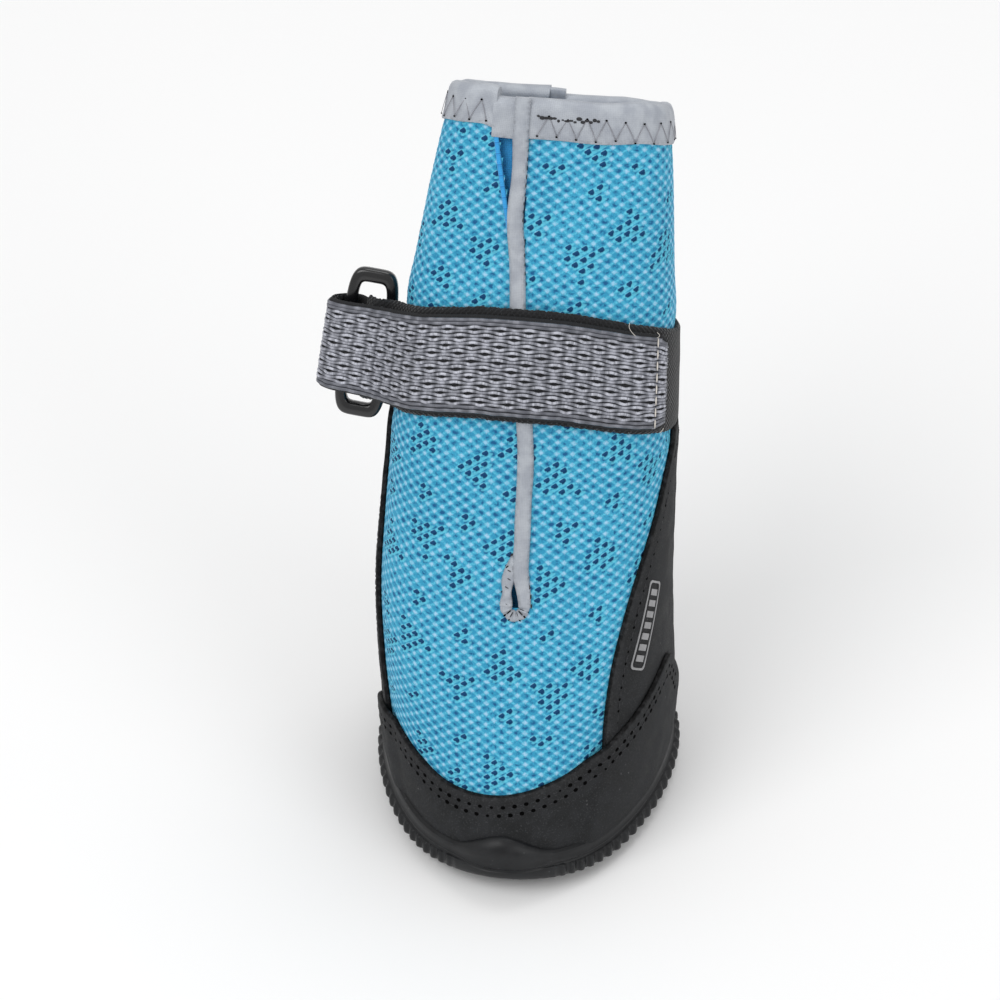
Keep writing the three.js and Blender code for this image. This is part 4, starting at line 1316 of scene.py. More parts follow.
def slit_band(name, mm, up, half, height, base, seed):
    """Puffed tape along a line of chart points beside the slit."""
    centre = np.stack([mm, up], -1)
    length = np.concatenate([[0], np.cumsum(np.linalg.norm(np.diff(centre, axis=0), axis=1))])
    ahead = unit(np.gradient(centre, axis=0))
    side = np.stack([ahead[:, 1], -ahead[:, 0]], -1)
    w = np.cos(np.linspace(0, np.pi, 13))
    lift = np.sqrt(np.maximum(0, 1 - w ** 2)) ** 0.75
    half = np.broadcast_to(half, len(mm))[:, None]
    height = np.broadcast_to(height, len(mm))[:, None]
    across_mm = centre[:, :1] + side[:, :1] * w * half
    up_mm = centre[:, 1:] + side[:, 1:] * w * half
    wave = 0.1 * ripple(length[:, None], w * 2, 3.2, seed) * lift
    top = chart_point(across_mm, up_mm, base[:, None] + height * lift + wave)
    low = chart_point(across_mm[:, 1:-1], up_mm[:, 1:-1],
                      base[:, None] - 0.12 + 0 * across_mm[:, 1:-1])
    rings = np.concatenate([top, low[:, ::-1]], axis=1)
    points, faces = loft(rings)
    chart = stack(length[:, None], w * half, 0.0)
    chart = np.concatenate([chart, chart[:, 1:-1][:, ::-1]], 1).reshape(-1, 3)
    chart = np.concatenate([chart, chart[:1], chart[-1:]])
    edge = (1 - np.abs(w)) * half
    edge = np.concatenate([edge, edge[:, 1:-1][:, ::-1]], 1).ravel()
    edge = np.concatenate([edge, [0, 0]])
    return mesh_object(name, points, faces, TAPE_CLOTH,
                       {"chart": chart, "edge": edge}, sharp=70)


SLIT_TOP_UP = (TOP - 0.2 - SLIT_END) * FRONT_RISE
TURN_MM = -0.175  # middle of the tape's turn, across from the slit's line
TURN_UP = 0.5  # and up from the slit's lower end


def slit_legs():
    """Each leg of the slit's tape: up from the slit's lower end, and across from its line."""
    up_left = np.linspace(16, TURN_UP, 64)
    left_mm = -2.0 + 2.6 * smooth(up_left, 4.5, 15.5)
    up_right = np.linspace(TURN_UP, SLIT_TOP_UP, 270)
    right_mm = 0.45 - 0.6 * np.exp(-((up_right - (SLIT_TOP_UP - 23)) / 6.0) ** 2)
    right_mm = right_mm + 1.2 * (1 - smooth(up_right, 0, 9))
    right_mm = right_mm + 0.12 * ripple(up_right, 0 * up_right, 22, 5) * smooth(up_right, 4, 9)
    return up_left, left_mm, up_right, right_mm


def throat_tape():
    """The slit's tape: a left leg that shows low down, a puckered turn and the right leg."""
    up_left, left_mm, up_right, right_mm = slit_legs()
    turn = np.linspace(np.pi, 2 * np.pi, 44)[1:-1]
    turn_mm = TURN_MM + 1.825 * np.cos(turn)
    turn_up = TURN_UP + 1.9 * np.sin(turn)
    mm = np.concatenate([left_mm, turn_mm, right_mm])
    up = np.concatenate([up_left, turn_up, up_right])
    half = np.concatenate([
        mix(1.3, 0.7, smooth(up_left, 6, 15)) - 0.4 * np.exp(-((up_left - 3.2) / 1.5) ** 2),
        1.1 + 0.1 * np.sin(turn * 6),
        mix(1.2, 1.6, smooth(up_right, 0.5, 7)) + 0.06 * ripple(up_right, 0, 9, 6),
    ])
    height = np.concatenate([
        0.7 + 0.36 * ripple(up_left, 0, 2.2, 61), 0.72 + 0.26 * np.sin(turn * 11),
        mix(0.8, 1.15, smooth(up_right, 2, 9)),
    ])
    base = np.concatenate([
        mix(0.08, -0.5, smooth(up_left, 7, 15)), np.full(len(turn), 0.08),
        0.1 + 0.6 * smooth(up_right, SLIT_TOP_UP - 10.5, SLIT_TOP_UP - 7.5),
    ])
    made = slit_band("throat_tape", mm, up, half, height, base, 53)
    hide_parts("throat_binding")


def beside_slit(name, mm, up, stand, ahead, size, material):
    """Beads on chart points beside the slit; ahead is the way that they point."""
    place = chart_point(mm, up, stand)
    lifted = unit(chart_point(mm, up, 1.0) - chart_point(mm, up, 0.0))
    beads(name, place, ahead, lifted, size, material)


def throat_stitches():
    """Needle dots and pucker marks round the turn, both painted shade, short dark stitches beside
    both legs, and dark dashes of painted shade across the left leg's gathers.
    """
    up_left, left_mm, up_right, right_mm = slit_legs()
    dots = np.linspace(1.1 * np.pi, 1.9 * np.pi, 7)
    # Painted shade: dark marks in the turn's puckers, and dark needle holes round it.
    for name, reach, size in (("throat_pucker_shade", 1.55, (0.62, 0.12, 0.2)),
                              ("throat_turn_holes", 2.55, (0.34, 0.2, 0.2))):
        mm, up = TURN_MM + reach * np.cos(dots), TURN_UP + reach * 1.1 * np.sin(dots)
        out = chart_point(mm + 0.2 * np.cos(dots), up + 0.2 * np.sin(dots), 0.62)
        out = out - chart_point(mm, up, 0.62)
        beside_slit(name, mm, up, 0.62 if reach < 2 else 0.4, out, size, NEEDLE_HOLE_SHADE)
    for name, low, high, pitch, offset in (
        ("throat_row_low", 0.8, 14, 1.9, 1.4),
        ("throat_row_high", SLIT_TOP_UP - 34, SLIT_TOP_UP, 1.7, 1.5),
    ):
        up = np.arange(low, high, pitch)
        mm = np.interp(up, up_right, right_mm) + offset
        ahead = chart_point(mm, up + 0.2, 0.42) - chart_point(mm, up, 0.42)
        beside_slit(name, mm, up, 0.42, ahead, (0.5, 0.15, 0.2), DARK_THREAD)
    # The second row is painted shade: dark dashes across the crinkles of the left leg's tape; the
    # first row is stitches.
    for name, pitch, offset, stand, way, size in (
        ("throat_row_left", 1.25, -0.8, 0.38, 0.3, (0.4, 0.15, 0.18)),
        ("throat_gather_shade", 1.7, 0.0, 0.72, -0.15, (0.42, 0.1, 0.16)),
    ):
        up = np.arange(0.9, 12.5, pitch)
        mm = np.interp(up, up_left[::-1], left_mm[::-1]) + offset
        mm = mm + RNG.uniform(-0.25, 0.35, len(up))
        ahead = chart_point(mm + 0.3, up + way, stand) - chart_point(mm, up, stand)
        beside_slit(name, mm, up, stand, ahead, size, DARK_THREAD)


def left_panel_fold():
    """The left panel's own folded edge, where it draws back from the slit near the collar."""
    level = np.linspace(121, TOP - 6.8, 60)
    mm = left_panel_edge(level)
    path = surface(slit_angle(level, mm), level, 0.1)
    rings = tube_along(path, normals_at(slit_angle(level, mm), level), 0.5, 0.34, 8)
    points, faces = loft(rings)
    chart = np.repeat(stack(mm, (level - BOTTOM) * FRONT_RISE, 0.0), 8, axis=0)
    chart = np.concatenate([chart, chart[:1], chart[-1:]])
    mesh_object("panel_edge_left", points, faces, TRICOT, {"chart": chart})


# ------------------------------------------------------------------ sole

RIB_COUNT = 81
SMOOTH_TOE = 30.0
TOE_LUG_INSET = 1.2  # the edge lugs under the raised toe are further in
TOE_LUG_SHORTER = 2.0


def sole_point(angle, inset, z):
    x = (SOLE_HALF_WIDTH - inset) * across(angle, SOLE_ROUND, SOLE_EGG)
    x = x + SOLE_TOE * (1 + np.cos(angle)) / 2
    y = -(SOLE_HALF_LENGTH - inset) * along(angle, SOLE_ROUND)
    return stack(x, y, z + spring(y))


def outsole():
    columns = RIB_COUNT * 12
    angle = np.arange(columns) * 2 * np.pi / columns
    degrees = np.abs(fold_angle(angle))
    rim = rim_level(angle)
    rib = np.sin(angle * RIB_COUNT)
    rib = np.sign(rib) * np.abs(rib) ** 0.6
    ribbed = smooth(degrees, SMOOTH_TOE - 12, SMOOTH_TOE + 6)
    deep = 0.42 * rib * ribbed
    guard = 1 - smooth(degrees, 4, TOE_GUARD_ANGLE)
    inside = surface(angle, BOTTOM, 0.25)
    floor_z = FLOOR_Z + 0 * angle

    def under(share):
        p = sole_point(angle, 0, LUG_HEIGHT) * [1, 1, 0]
        return stack(p[:, 0] * share, p[:, 1] * share, LUG_HEIGHT + spring(p[:, 1] * share))

    def floor(share):
        return stack(inside[:, 0] * share, inside[:, 1] * share,
                     floor_z + spring(inside[:, 1] * share))

    def wall(level, stand):
        return surface(angle, level, stand)

    def edge(inset, z):
        return sole_point(angle, inset, z)

    lobe = guard * 1.2
    rows = [
        under(0.02), under(0.35), under(0.62), under(0.85),
        edge(1.0 - deep * 0.5, LUG_HEIGHT), edge(0.45 - deep * 0.7, LUG_HEIGHT + 0.12),
        edge(0.12 - deep, LUG_HEIGHT + 0.55), edge(0.02 - deep, LUG_HEIGHT + 1.2),
        edge(0.02 - deep, LUG_HEIGHT + 2.3), edge(0.1 - deep, LEDGE_TOP - 0.75),
        edge(0.3 - deep * 0.6, LEDGE_TOP - 0.3), edge(0.75 - deep * 0.2, LEDGE_TOP - 0.05),
        edge(1.1, LEDGE_TOP + 0.02),
        wall(LEDGE_TOP + 0.75, 3.0 + lobe), wall(LEDGE_TOP + 0.9, 2.75 + lobe),
        wall(LEDGE_TOP + 1.25, 2.62 + lobe), wall(LEDGE_TOP + 1.6, 2.78 + lobe),
        wall(LEDGE_TOP + 1.9, 2.45 + lobe * 1.05),
        wall(mix(LEDGE_TOP + 1.9, rim, 0.35), 2.25 + lobe * 1.1),
        wall(mix(LEDGE_TOP + 1.9, rim, 0.62), 2.1 + lobe),
        wall(mix(LEDGE_TOP + 1.9, rim, 0.82), 1.85 + lobe * 0.7),
        wall(rim - 0.22, 1.6 + lobe * 0.35), wall(rim, 1.3 + lobe * 0.1), wall(rim + 0.02, 0.9),
        wall(rim - 0.1, 0.35), wall(mix(BOTTOM, rim, 0.5), 0.25),
        wall(BOTTOM + 0 * rim, 0.25), floor(0.985), floor(0.8), floor(0.4), floor(0.02),
    ]
    rings = np.stack(rows, axis=1)
    points, quads = rings.reshape(-1, 3), grid_faces(columns, len(rows), ring=True)
    poles = np.array([[0, 0, LUG_HEIGHT], [0, 0, FLOOR_Z]], float)
    i = np.arange(columns) * len(rows)
    n = (np.arange(columns) + 1) % columns * len(rows)
    bottom, top = len(points), len(points) + 1
    last = len(rows) - 1
    caps = np.concatenate([np.stack([n, i, np.full(columns, bottom)], -1),
                           np.stack([i + last, n + last, np.full(columns, top)], -1)])
    made = mesh_object("outsole_rubber", np.concatenate([points, poles]), [quads, caps],
                       RUBBER, sharp=38)
    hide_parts("outsole")


def lug_block(x, y, width, length, turn):
    """One tread block: a tapered box with rounded corners."""
    turn = math.radians(turn)
    rings = []
    for z, grow in ((LUG_HEIGHT + 0.6, 0.25), (0.35, 0.0), (0.08, -0.12), (0.0, -0.32)):
        corner = 0.7
        ring = []
        for k, (sx, sy) in enumerate(((1, 1), (-1, 1), (-1, -1), (1, -1))):
            for t in np.linspace(0, np.pi / 2, 4):
                ring.append((sx * (width / 2 + grow - corner)
                             + corner * math.cos(t + k * np.pi / 2),
                             sy * (length / 2 + grow - corner)
                             + corner * math.sin(t + k * np.pi / 2)))
        ring = np.array(ring)
        px = x + ring[:, 0] * math.cos(turn) - ring[:, 1] * math.sin(turn)
        py = y + ring[:, 0] * math.sin(turn) + ring[:, 1] * math.cos(turn)
        rings.append(stack(px, py, z + spring(py)))
    return loft(np.array(rings)[::-1])


def tread():
    lofts = []
    for i in range(EDGE_LUG["count"]):
        angle = 2 * np.pi * (i + 0.5) / EDGE_LUG["count"]
        toe = float(smooth(math.cos(angle), 0.55, 0.9))
        p = sole_point(angle, EDGE_LUG["inset"] + TOE_LUG_INSET * toe, 0)
        turn = math.degrees(math.atan2(p[0], -p[1]))
        length = EDGE_LUG["length"] - TOE_LUG_SHORTER * toe
        lofts.append(lug_block(p[0], p[1], EDGE_LUG["width"], length, turn))
    for y in BLOCK["rows"]:
        row_half = 1 if abs(y) > BLOCK_SHORT_ROW else 2
        for k in range(-row_half, row_half + 1):
            lofts.append(lug_block(k * BLOCK["pitch"], y + abs(k) * BLOCK["bow"],
                                   BLOCK["width"], BLOCK["length"], 0))
    points, faces = join_lofts(lofts)
    mesh_object("outsole_tread", points, faces, RUBBER, sharp=50)


def insole():
    angle = np.arange(160) * 2 * np.pi / 160
    edge = surface(angle, BOTTOM + 1, -WALL - 2 * GAP)
    rows = []
    for share, lift in ((0.3, 0.0), (0.97, 0.0), (1.0, 0.3), (1.0, 1.4), (0.975, 1.8),
                        (0.8, 1.72), (0.5, 1.65), (0.2, 1.65)):
        y = edge[:, 1] * share
        rows.append(stack(edge[:, 0] * share, y, FLOOR_Z + GAP + lift + spring(y)))
    rings = np.stack(rows, axis=0)
    points, faces = loft(rings)
    made = mesh_object("insole_foam", points, faces, FOAM, sharp=50)
    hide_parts("insole")


# ------------------------------------------------------------------ strap, ring and loop

STRAP_WIDTH = 22.0
TAIL_WIDTH = 19.6
LOOP_WIDTH = 18.0
EYE_PITCH = 5.5
YARN_ROWS = 24
YARN_STAND = 0.5  # how far the yarns' middle stands off the strap's own
BAND_STEPS = 900


def beside(x, depth, level):
    """A point beside the shaft: x sideways and depth backwards from its section's middle."""
    front, back = bare(0.0, level), bare(np.pi, level)
    backwards = unit(back - front)
    middle = (front + back) / 2
    width_scale = section(level, "half") / section(STRAP_LEVEL, "half")
    depth_scale = np.linalg.norm(back - front, axis=-1) / SHAFT_DEPTH
    sideways = np.asarray(x * width_scale)[..., None] * np.array([1.0, 0, 0])
    return middle + sideways + backwards * np.asarray(depth * depth_scale)[..., None]


SHAFT_DEPTH = np.linalg.norm(bare(0.0, STRAP_LEVEL) - bare(np.pi, STRAP_LEVEL))


def strap_level(degrees):
    return float(lookup(STRAP_LEVELS, "angle", "level", degrees))


def on_shaft(degrees, stand):
    front, back = bare(0.0, STRAP_LEVEL), bare(np.pi, STRAP_LEVEL)
    backwards = unit(back - front)
    away = surface(math.radians(degrees), STRAP_LEVEL, stand) - (front + back) / 2
    return [away[0], away @ backwards, strap_level(np.clip(degrees, -90, 180))]


def smooth_path(route, count):
    """Points one even step apart on a centripetal curve through the route."""
    route = np.array(route, float)
    route = np.concatenate([[2 * route[0] - route[1]], route, [2 * route[-1] - route[-2]]])
    knots = np.concatenate([[0], np.cumsum(np.linalg.norm(np.diff(route, axis=0),
                                                          axis=1) ** 0.5)])
    line = []
    for k in range(1, len(route) - 2):
        t = np.linspace(knots[k], knots[k + 1], 40, endpoint=False)[:, None]
        p, s = route[k - 1:k + 3], knots[k - 1:k + 3]
        a = [p[n] + (p[n + 1] - p[n]) * (t - s[n]) / (s[n + 1] - s[n]) for n in range(3)]
        b = [a[n] + (a[n + 1] - a[n]) * (t - s[n]) / (s[n + 2] - s[n]) for n in range(2)]
        line.append(b[0] + (b[1] - b[0]) * (t - s[1]) / (s[2] - s[1]))
    line = np.concatenate(line + [route[-2:-1]])
    length = np.concatenate([[0], np.cumsum(np.linalg.norm(np.diff(line, axis=0), axis=1))])
    even = np.linspace(0, length[-1], count)
    return np.stack([np.interp(even, length, line[:, k]) for k in range(3)], -1), length[-1]


class Webbing:
    """A flat band that follows a route beside the shaft."""

    def __init__(self, route, count):
        self.path, self.length = smooth_path(route, count)
        ahead = np.gradient(self.path, axis=0)
        self.out = unit(np.stack([ahead[:, 1], -ahead[:, 0]], -1))
        self.share = np.linspace(0, 1, count)

    def place(self, share, up, shift):
        """share along the route, up in millimetres from its middle line, shift outwards."""
        x, y, level = [np.interp(share, self.share, self.path[:, k]) for k in range(3)]
        ox, oy = [np.interp(share, self.share, self.out[:, k]) for k in range(2)]
        return beside(x + ox * shift, y + oy * shift, level + up / FRONT_RISE)


def band_sheet(name, band, share, width, thick, material, fuzz=0.0, shift=0.0,
               rows=15, seed=1):
    """Webbing as a closed sheet with soft edges; share and width run along the route."""
    w = np.linspace(-1, 1, rows)
    up = w[None, :] * width[:, None] / 2
    along_mm = share[:, None] * band.length
    rim = 0.25 + 0.75 * rounded((1 - np.abs(w)) * width.max() / 2, 0.7)
    wave = 0.05 * ripple(along_mm, up, 9, seed)
    random = np.random.default_rng(seed)
    rough = random.uniform(-fuzz, fuzz, up.shape)
    outer = band.place(share[:, None] + 0 * up, up + rough, shift + thick / 2 * rim + wave
                       + rough * 0.5)
    inner = band.place(share[:, None] + 0 * up, up + rough, shift - thick / 2 * rim + wave)
    points, faces = two_sided(outer, inner)
    chart = stack(along_mm, up, 0.0).reshape(-1, 3)
    return mesh_object(name, points, faces, material,
                       {"chart": np.concatenate([chart, chart])}, sharp=60)


def strap_route():
    """Round the outer side and across the front, through the ring, and back as the tail.

    Gives the band, and the shares of its length where the fold through the ring starts and ends.
    """
    def under_stand(degrees):
        over_tape = 1 - smooth(abs(degrees + 1.5), 5, 16)
        front = 1.35 + 0.75 * over_tape
        return mix(front, 1.05, smooth(degrees, 60, 130))

    route = [on_shaft(degrees, under_stand(degrees)) for degrees in range(176, -53, -6)]
    level = strap_level(RING_ANGLE)
    inner = RING["x"] + (RING["width"] - RING["bar"]) / 2
    outer = RING["x"] - (RING["width"] - RING["bar"]) / 2
    depth = RING["depth"]
    turn_count = len(route)
    free = table(
        "x depth",
        (inner + 0.7, -4.2), (inner - 2.6, -3.9), (RING["x"] - 0.8, -0.5),
        (outer + 1.2, 2.3), (outer - 1.2, 2.7), (outer - 3.7, 1.2), (outer - 3.9, -1.4),
        (outer - 1.7, -3.4), (RING["x"] - 1.8, -4.6), (inner - 2.1, -5.8),
    )
    route += [[x, depth + d, level] for x, d in zip(free["x"], free["depth"])]
    turn_end = len(route) - 4
    for degrees in range(-46, 67, 6):
        route.append(on_shaft(degrees, under_stand(degrees) + 1.5))
    band = Webbing(route, BAND_STEPS)
    knots = np.array(route)

    def share_near(index):
        nearest = np.argmin(np.linalg.norm(band.path - knots[index], axis=1))
        return float(nearest) / (BAND_STEPS - 1)

    return band, share_near(turn_count - 1), share_near(turn_end)


def strap_layers(band, fold_start, fold_end):
    """The layer against the boot with its pile outwards, the tail, and the tail's backing."""
    share = np.linspace(0, mix(fold_start, fold_end, 0.55), 330)
    width = np.full(330, STRAP_WIDTH)
    made = band_sheet("strap_pile", band, share, width, 1.15, PILE,
                      fuzz=0.12, rows=31, seed=71)
    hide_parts("strap")

    # The tail has rounded corners at its end.
    share = np.concatenate([np.linspace(mix(fold_start, fold_end, 0.2), 0.965, 300),
                            1 - np.linspace(0.035, 0.35 / band.length, 40)])
    to_end = (1 - share) * band.length
    corner = 2.2
    width = mix(STRAP_WIDTH - 0.6, TAIL_WIDTH, smooth(share, fold_start, fold_end))
    width = width - 2 * corner * (1 - rounded(to_end, corner))
    made = band_sheet("strap_webbing", band, share, width, 0.85, STRAP_BASE,
                      rows=41, seed=73)
    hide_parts("strap")

    # The tail's backing shows as a dark fringe past its end.
    share = np.linspace(mix(fold_start, fold_end, 0.85), 1, 240)
    width = np.full(240, TAIL_WIDTH - 0.5)
    made = band_sheet("strap_backing", band, share, width, 0.5, PILE,
                      fuzz=0.2, shift=-0.62, rows=31, seed=75)
    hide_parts("strap")


def strap_yarns(band, fold_start, fold_end):
    """Grey yarns that swing round staggered eyes, on the face that shows."""
    lofts, charts, lifts = [], [], []
    tail_mm = band.length
    start = mix(fold_start, fold_end, 0.22)
    pitch = (TAIL_WIDTH - 1.0) / YARN_ROWS
    stop = 1 - 0.5 / tail_mm
    count = int((stop - start) * tail_mm / 0.42)
    for row in range(YARN_ROWS):
        wobble = RNG.uniform(-0.05, 0.05)
        share = np.linspace(start, stop, count)
        mm = share * tail_mm
        pair, upper = row // 2, row % 2
        sign = 1 if upper else -1
        own = (mm / EYE_PITCH + 0.5 * (pair % 2)) % 1 - 0.5
        other = (own + 1.0) % 1 - 0.5
        eye = np.exp(-(own * EYE_PITCH / 0.85) ** 2)
        pushed = np.exp(-(other * EYE_PITCH / 0.95) ** 2)
        selvedge = row < 2 or row >= YARN_ROWS - 2
        bulge = 0 if selvedge else sign * (0.22 * eye - 0.12 * pushed)
        up = (row + 0.5) * pitch - (TAIL_WIDTH - 1.0) / 2 + bulge + wobble
        up = up + 0.04 * ripple(mm, 0 * mm + row, 4, 91)
        near_end = smooth(share, stop - 3.0 / tail_mm, stop)
        up = up * (1 - near_end * 0.1 * abs(up).max() / 9)
        # lift sets how deep the yarn dives, and also its painted highlight and shade in the yarn
        # material.
        lift = np.maximum(np.exp(-(own * EYE_PITCH / 1.15) ** 2),
                          0.55 * np.exp(-(other * EYE_PITCH / 1.3) ** 2))
        dive = 0.16 - 0.26 * lift
        grow = mix((STRAP_WIDTH - 0.6) / TAIL_WIDTH, 1.0, smooth(share, fold_start, fold_end))
        path = band.place(share, up * grow, YARN_STAND + 0.06 - dive)
        outwards = unit(band.place(share, up * grow, YARN_STAND + 1.0) - path)
        thick = 0.38 if selvedge else 0.34 * (1 - 0.06 * eye - 0.06 * pushed)
        rings = tube_along(path, outwards, thick, 0.26, 6)
        lofts.append(loft(rings))
        flat = np.repeat(stack(mm, up, 0.0), 6, axis=0)
        charts.append(np.concatenate([flat, flat[:1], flat[-1:]]))
        # The selvedge yarns' painted light is uneven and mostly shade.
        if selvedge:
            lift = 0.24 + 0.12 * ripple(mm, 0 * mm + row, 3, 97)
        lifts.append(np.concatenate([np.repeat(lift, 6), [0, 0]]))
    points, faces = join_lofts(lofts)
    mesh_object("strap_yarns", points, faces, YARN,
                {"chart": np.concatenate(charts), "lift": np.concatenate(lifts)})


def strap_stitches(band):
    """A stitch line across the tail's end, and a few loose threads."""
    up = np.arange(-8.2, 8.3, 2.35)
    share = np.full(len(up), 1 - 3.4 / band.length)
    place = band.place(share, up, YARN_STAND + 0.42)
    ahead = band.place(share, up + 1, YARN_STAND + 0.42) - place
    lifted = unit(band.place(share, up, YARN_STAND + 2) - place)
    beads("strap_end_stitches", place, ahead, lifted, (0.95, 0.17, 0.14), CREAM_THREAD)
    loose = []
    for at, low, high, bend in ((8.4, 9.2, 11.6, 1.1), (3.6, 9.2, 10.3, -0.6),
                                (1.0, -9.3, -10.2, 0.7)):
        s = np.linspace(0, 1, 24)
        share = 1 - (at + bend * np.sin(2.4 * s) + 0.5 * s) / band.length
        rise_mm = mix(low, high, s)
        path = band.place(share, rise_mm, YARN_STAND + 0.3 + 0.3 * np.sin(np.pi * s))
        lifted = unit(band.place(share, rise_mm, YARN_STAND + 2) - path)
        loose.append(loft(tube_along(path, lifted, 0.06, 0.06, 6)))
    points, faces = join_lofts(loose)
    mesh_object("strap_loose_threads", points, faces, CREAM_THREAD)


def strap_yarn_ends(band):
    """Short yarn ends along the tail's cut."""
    ends = []
    for up_mm in np.arange(-9.2, 9.3, 0.5):
        s = np.linspace(0, 1, 6)
        lean, reach = RNG.uniform(-0.35, 0.35), RNG.uniform(0.5, 1.3)
        drop = 0 if abs(up_mm) < 7.4 else 1.6 * (abs(up_mm) - 7.4)
        share = np.minimum(1 - (0.9 + drop - reach * s) / band.length, 1.0)
        path = band.place(share, up_mm + lean * s, YARN_STAND + 0.12 - 0.25 * s)
        lifted = unit(band.place(share, up_mm + lean * s, YARN_STAND + 2) - path)
        ends.append(loft(tube_along(path + 1e-4 * s[:, None], lifted, 0.13, 0.1, 5)))
    points, faces = join_lofts(ends)
    mesh_object("strap_yarn_ends", points, faces, YARN,
                # The yarn ends get a middling share of painted light.
                {"chart": points, "lift": np.full(len(points), 0.4)})


def strap():
    band, fold_start, fold_end = strap_route()
    strap_layers(band, fold_start, fold_end)
    strap_yarns(band, fold_start, fold_end)
    strap_stitches(band)
    strap_yarn_ends(band)


def strap_ring():
    """A moulded ring with a slot: an oval bar swept round a rounded rectangle."""
    level = strap_level(RING_ANGLE)
    middle = beside(np.array(RING["x"]), np.array(RING["depth"]), np.array(level))
    up = unit(beside(np.array(RING["x"]), np.array(RING["depth"]), np.array(level + 5))
              - beside(np.array(RING["x"]), np.array(RING["depth"]), np.array(level - 5)))
    sideways = unit(np.array([1.0, 0, 0]) - up * up[0])
    outwards = np.cross(sideways, up)
    rings = []
    count = 200
    turn = np.arange(count) * 2 * np.pi / count
    for t in turn:
        c, s = math.cos(t), math.sin(t)

        def outline(width, height, power):
            x = np.sign(c) * abs(c) ** power * width / 2
            y = np.sign(s) * abs(s) ** power * height / 2
            return np.array([x, y])

        outer = outline(RING["width"], RING["height"], 0.42)
        inner = outline(RING["width"] - 2 * RING["bar"], RING["height"] - 2 * RING["end"], 0.3)
        around = np.arange(16) * 2 * np.pi / 16
        cs = np.sign(np.cos(around)) * np.abs(np.cos(around)) ** 0.6
        sn = np.sign(np.sin(around)) * np.abs(np.sin(around)) ** 0.6
        flat = (outer + inner)[None] / 2 + (outer - inner)[None] / 2 * cs[:, None]
        lift = sn * RING["thick"] / 2
        rings.append(middle + flat[:, :1] * sideways + flat[:, 1:] * up
                     + lift[:, None] * outwards)
    points, faces = loft(np.array(rings), closed=True)
    made = mesh_object("strap_ring_plastic", points, faces, PLASTIC)
    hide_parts("strap_ring")


def ring_loop():
    """A folded piece of ribbed webbing from the back of the shaft, round the ring's bar."""
    thick = 0.9
    near = GAP + thick / 2
    far = near + thick + GAP
    bar = RING["x"] + (RING["width"] - RING["bar"]) / 2
    clear = RING["bar"] / 2 + 2 * GAP + thick / 2
    level = strap_level(-90)
    depth = RING["depth"]

    def flat(degrees, stand):
        x, away, _ = on_shaft(degrees, stand)
        return [x, away, level]

    route = [flat(degrees, near) for degrees in range(-168, -97, 10)]
    route += [[bar + x, depth + d, level] for x, d in (
        (clear - 0.1, 0.4), (clear - 0.5, 0.5 - clear), (0, -clear - 0.1),
        (0.3 - clear, 0.6 - clear), (-clear, 0), (0.5 - clear, clear - 0.3),
        (-0.2, clear + 1.2),
    )]
    route += [flat(degrees, far) for degrees in range(-108, -169, -10)]
    band = Webbing(route, 400)
    share = np.linspace(0, 1, 400)
    made = band_sheet("ring_loop_webbing", band, share, np.full(400, LOOP_WIDTH), thick,
                      BLACK_WEB, rows=25, seed=81)
    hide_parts("ring_loop")


# ------------------------------------------------------------------ making the boot

air_mesh()
lining()
gusset()
toe_cap()
quarter()
badge()
collar()
throat_tape()
throat_stitches()
left_panel_fold()
outsole()
tread()
insole()
strap()
strap_ring()
ring_loop()


# ------------------------------------------------------------------ floor, light and camera

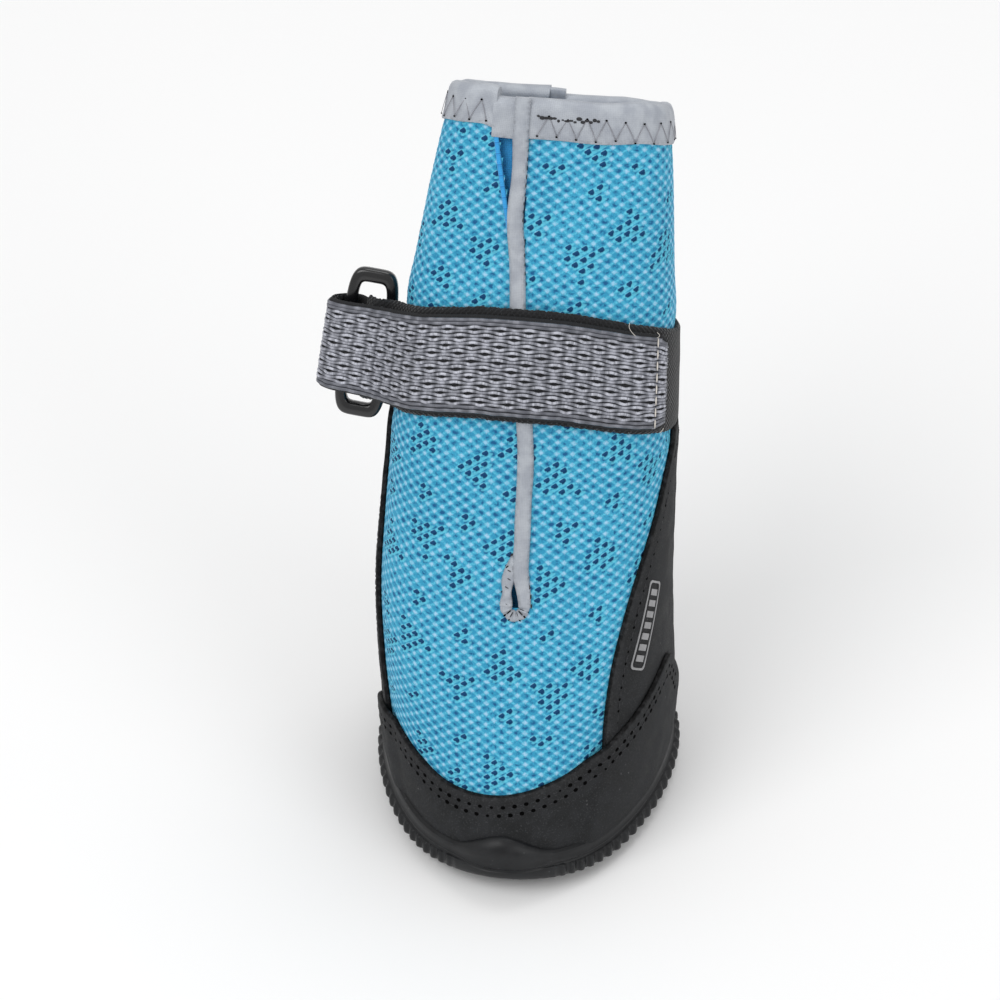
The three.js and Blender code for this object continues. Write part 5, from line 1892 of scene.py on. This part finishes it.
def stage_floor():
    mesh = bpy.data.meshes.new("floor")
    reach = 6.0
    mesh.from_pydata([(-reach, -reach, 0), (reach, -reach, 0), (reach, reach, 0),
                      (-reach, reach, 0)], [], [(0, 1, 2, 3)])
    made = bpy.data.objects.new("floor", mesh)
    bpy.context.scene.collection.objects.link(made)
    paper, _, shader = start_material("paper", Roughness=0.9)
    shader.inputs["Base Color"].default_value = tint(244, 244, 244)
    mesh.materials.append(paper)


def area_light(name, place, aim, size, power):
    data = bpy.data.lights.new(name, "AREA")
    data.shape = "DISK"
    data.size = size
    data.energy = power
    made = bpy.data.objects.new(name, data)
    made.location = place
    direction = Vector(aim) - Vector(place)
    made.rotation_euler = direction.to_track_quat("-Z", "Y").to_euler()
    bpy.context.scene.collection.objects.link(made)


VIEW_AZIMUTH = math.radians(10.0)
VIEW_ELEVATION = math.radians(40.0)
VIEW_ROLL = math.radians(1.5)
VIEW_DISTANCE = 0.9
VIEW_CENTRE = Vector((-0.0035, 0.005, 0.068))
LENS = 165.0


def camera():
    data = bpy.data.cameras.new("camera")
    data.lens = LENS
    data.sensor_width = 36.0
    made = bpy.data.objects.new("camera", data)
    sin_a, cos_a = math.sin(VIEW_AZIMUTH), math.cos(VIEW_AZIMUTH)
    sin_e, cos_e = math.sin(VIEW_ELEVATION), math.cos(VIEW_ELEVATION)
    back = Vector((sin_a * cos_e, -cos_a * cos_e, sin_e))
    right = Vector((cos_a, sin_a, 0))
    up = back.cross(right)
    turn = Matrix((right, up, back)).transposed().to_4x4() @ Matrix.Rotation(-VIEW_ROLL, 4, "Z")
    made.matrix_world = Matrix.Translation(VIEW_CENTRE + back * VIEW_DISTANCE) @ turn
    bpy.context.scene.collection.objects.link(made)
    bpy.context.scene.camera = made


def world():
    made = bpy.data.worlds.new("studio")
    made.use_nodes = True
    background = made.node_tree.nodes["Background"]
    background.inputs["Color"].default_value = (1.0, 1.0, 1.0, 1.0)
    background.inputs["Strength"].default_value = 0.62
    bpy.context.scene.world = made
    bpy.context.scene.view_settings.view_transform = "Standard"


stage_floor()
area_light("key", (-0.5, -0.55, 0.95), (0, 0, 0.07), 0.8, 4.9)
area_light("fill", (0.8, -0.5, 0.6), (0, 0, 0.07), 0.7, 2.3)
area_light("top", (0.1, 0.5, 1.1), (0, 0, 0.07), 0.7, 3.0)
camera()
world()
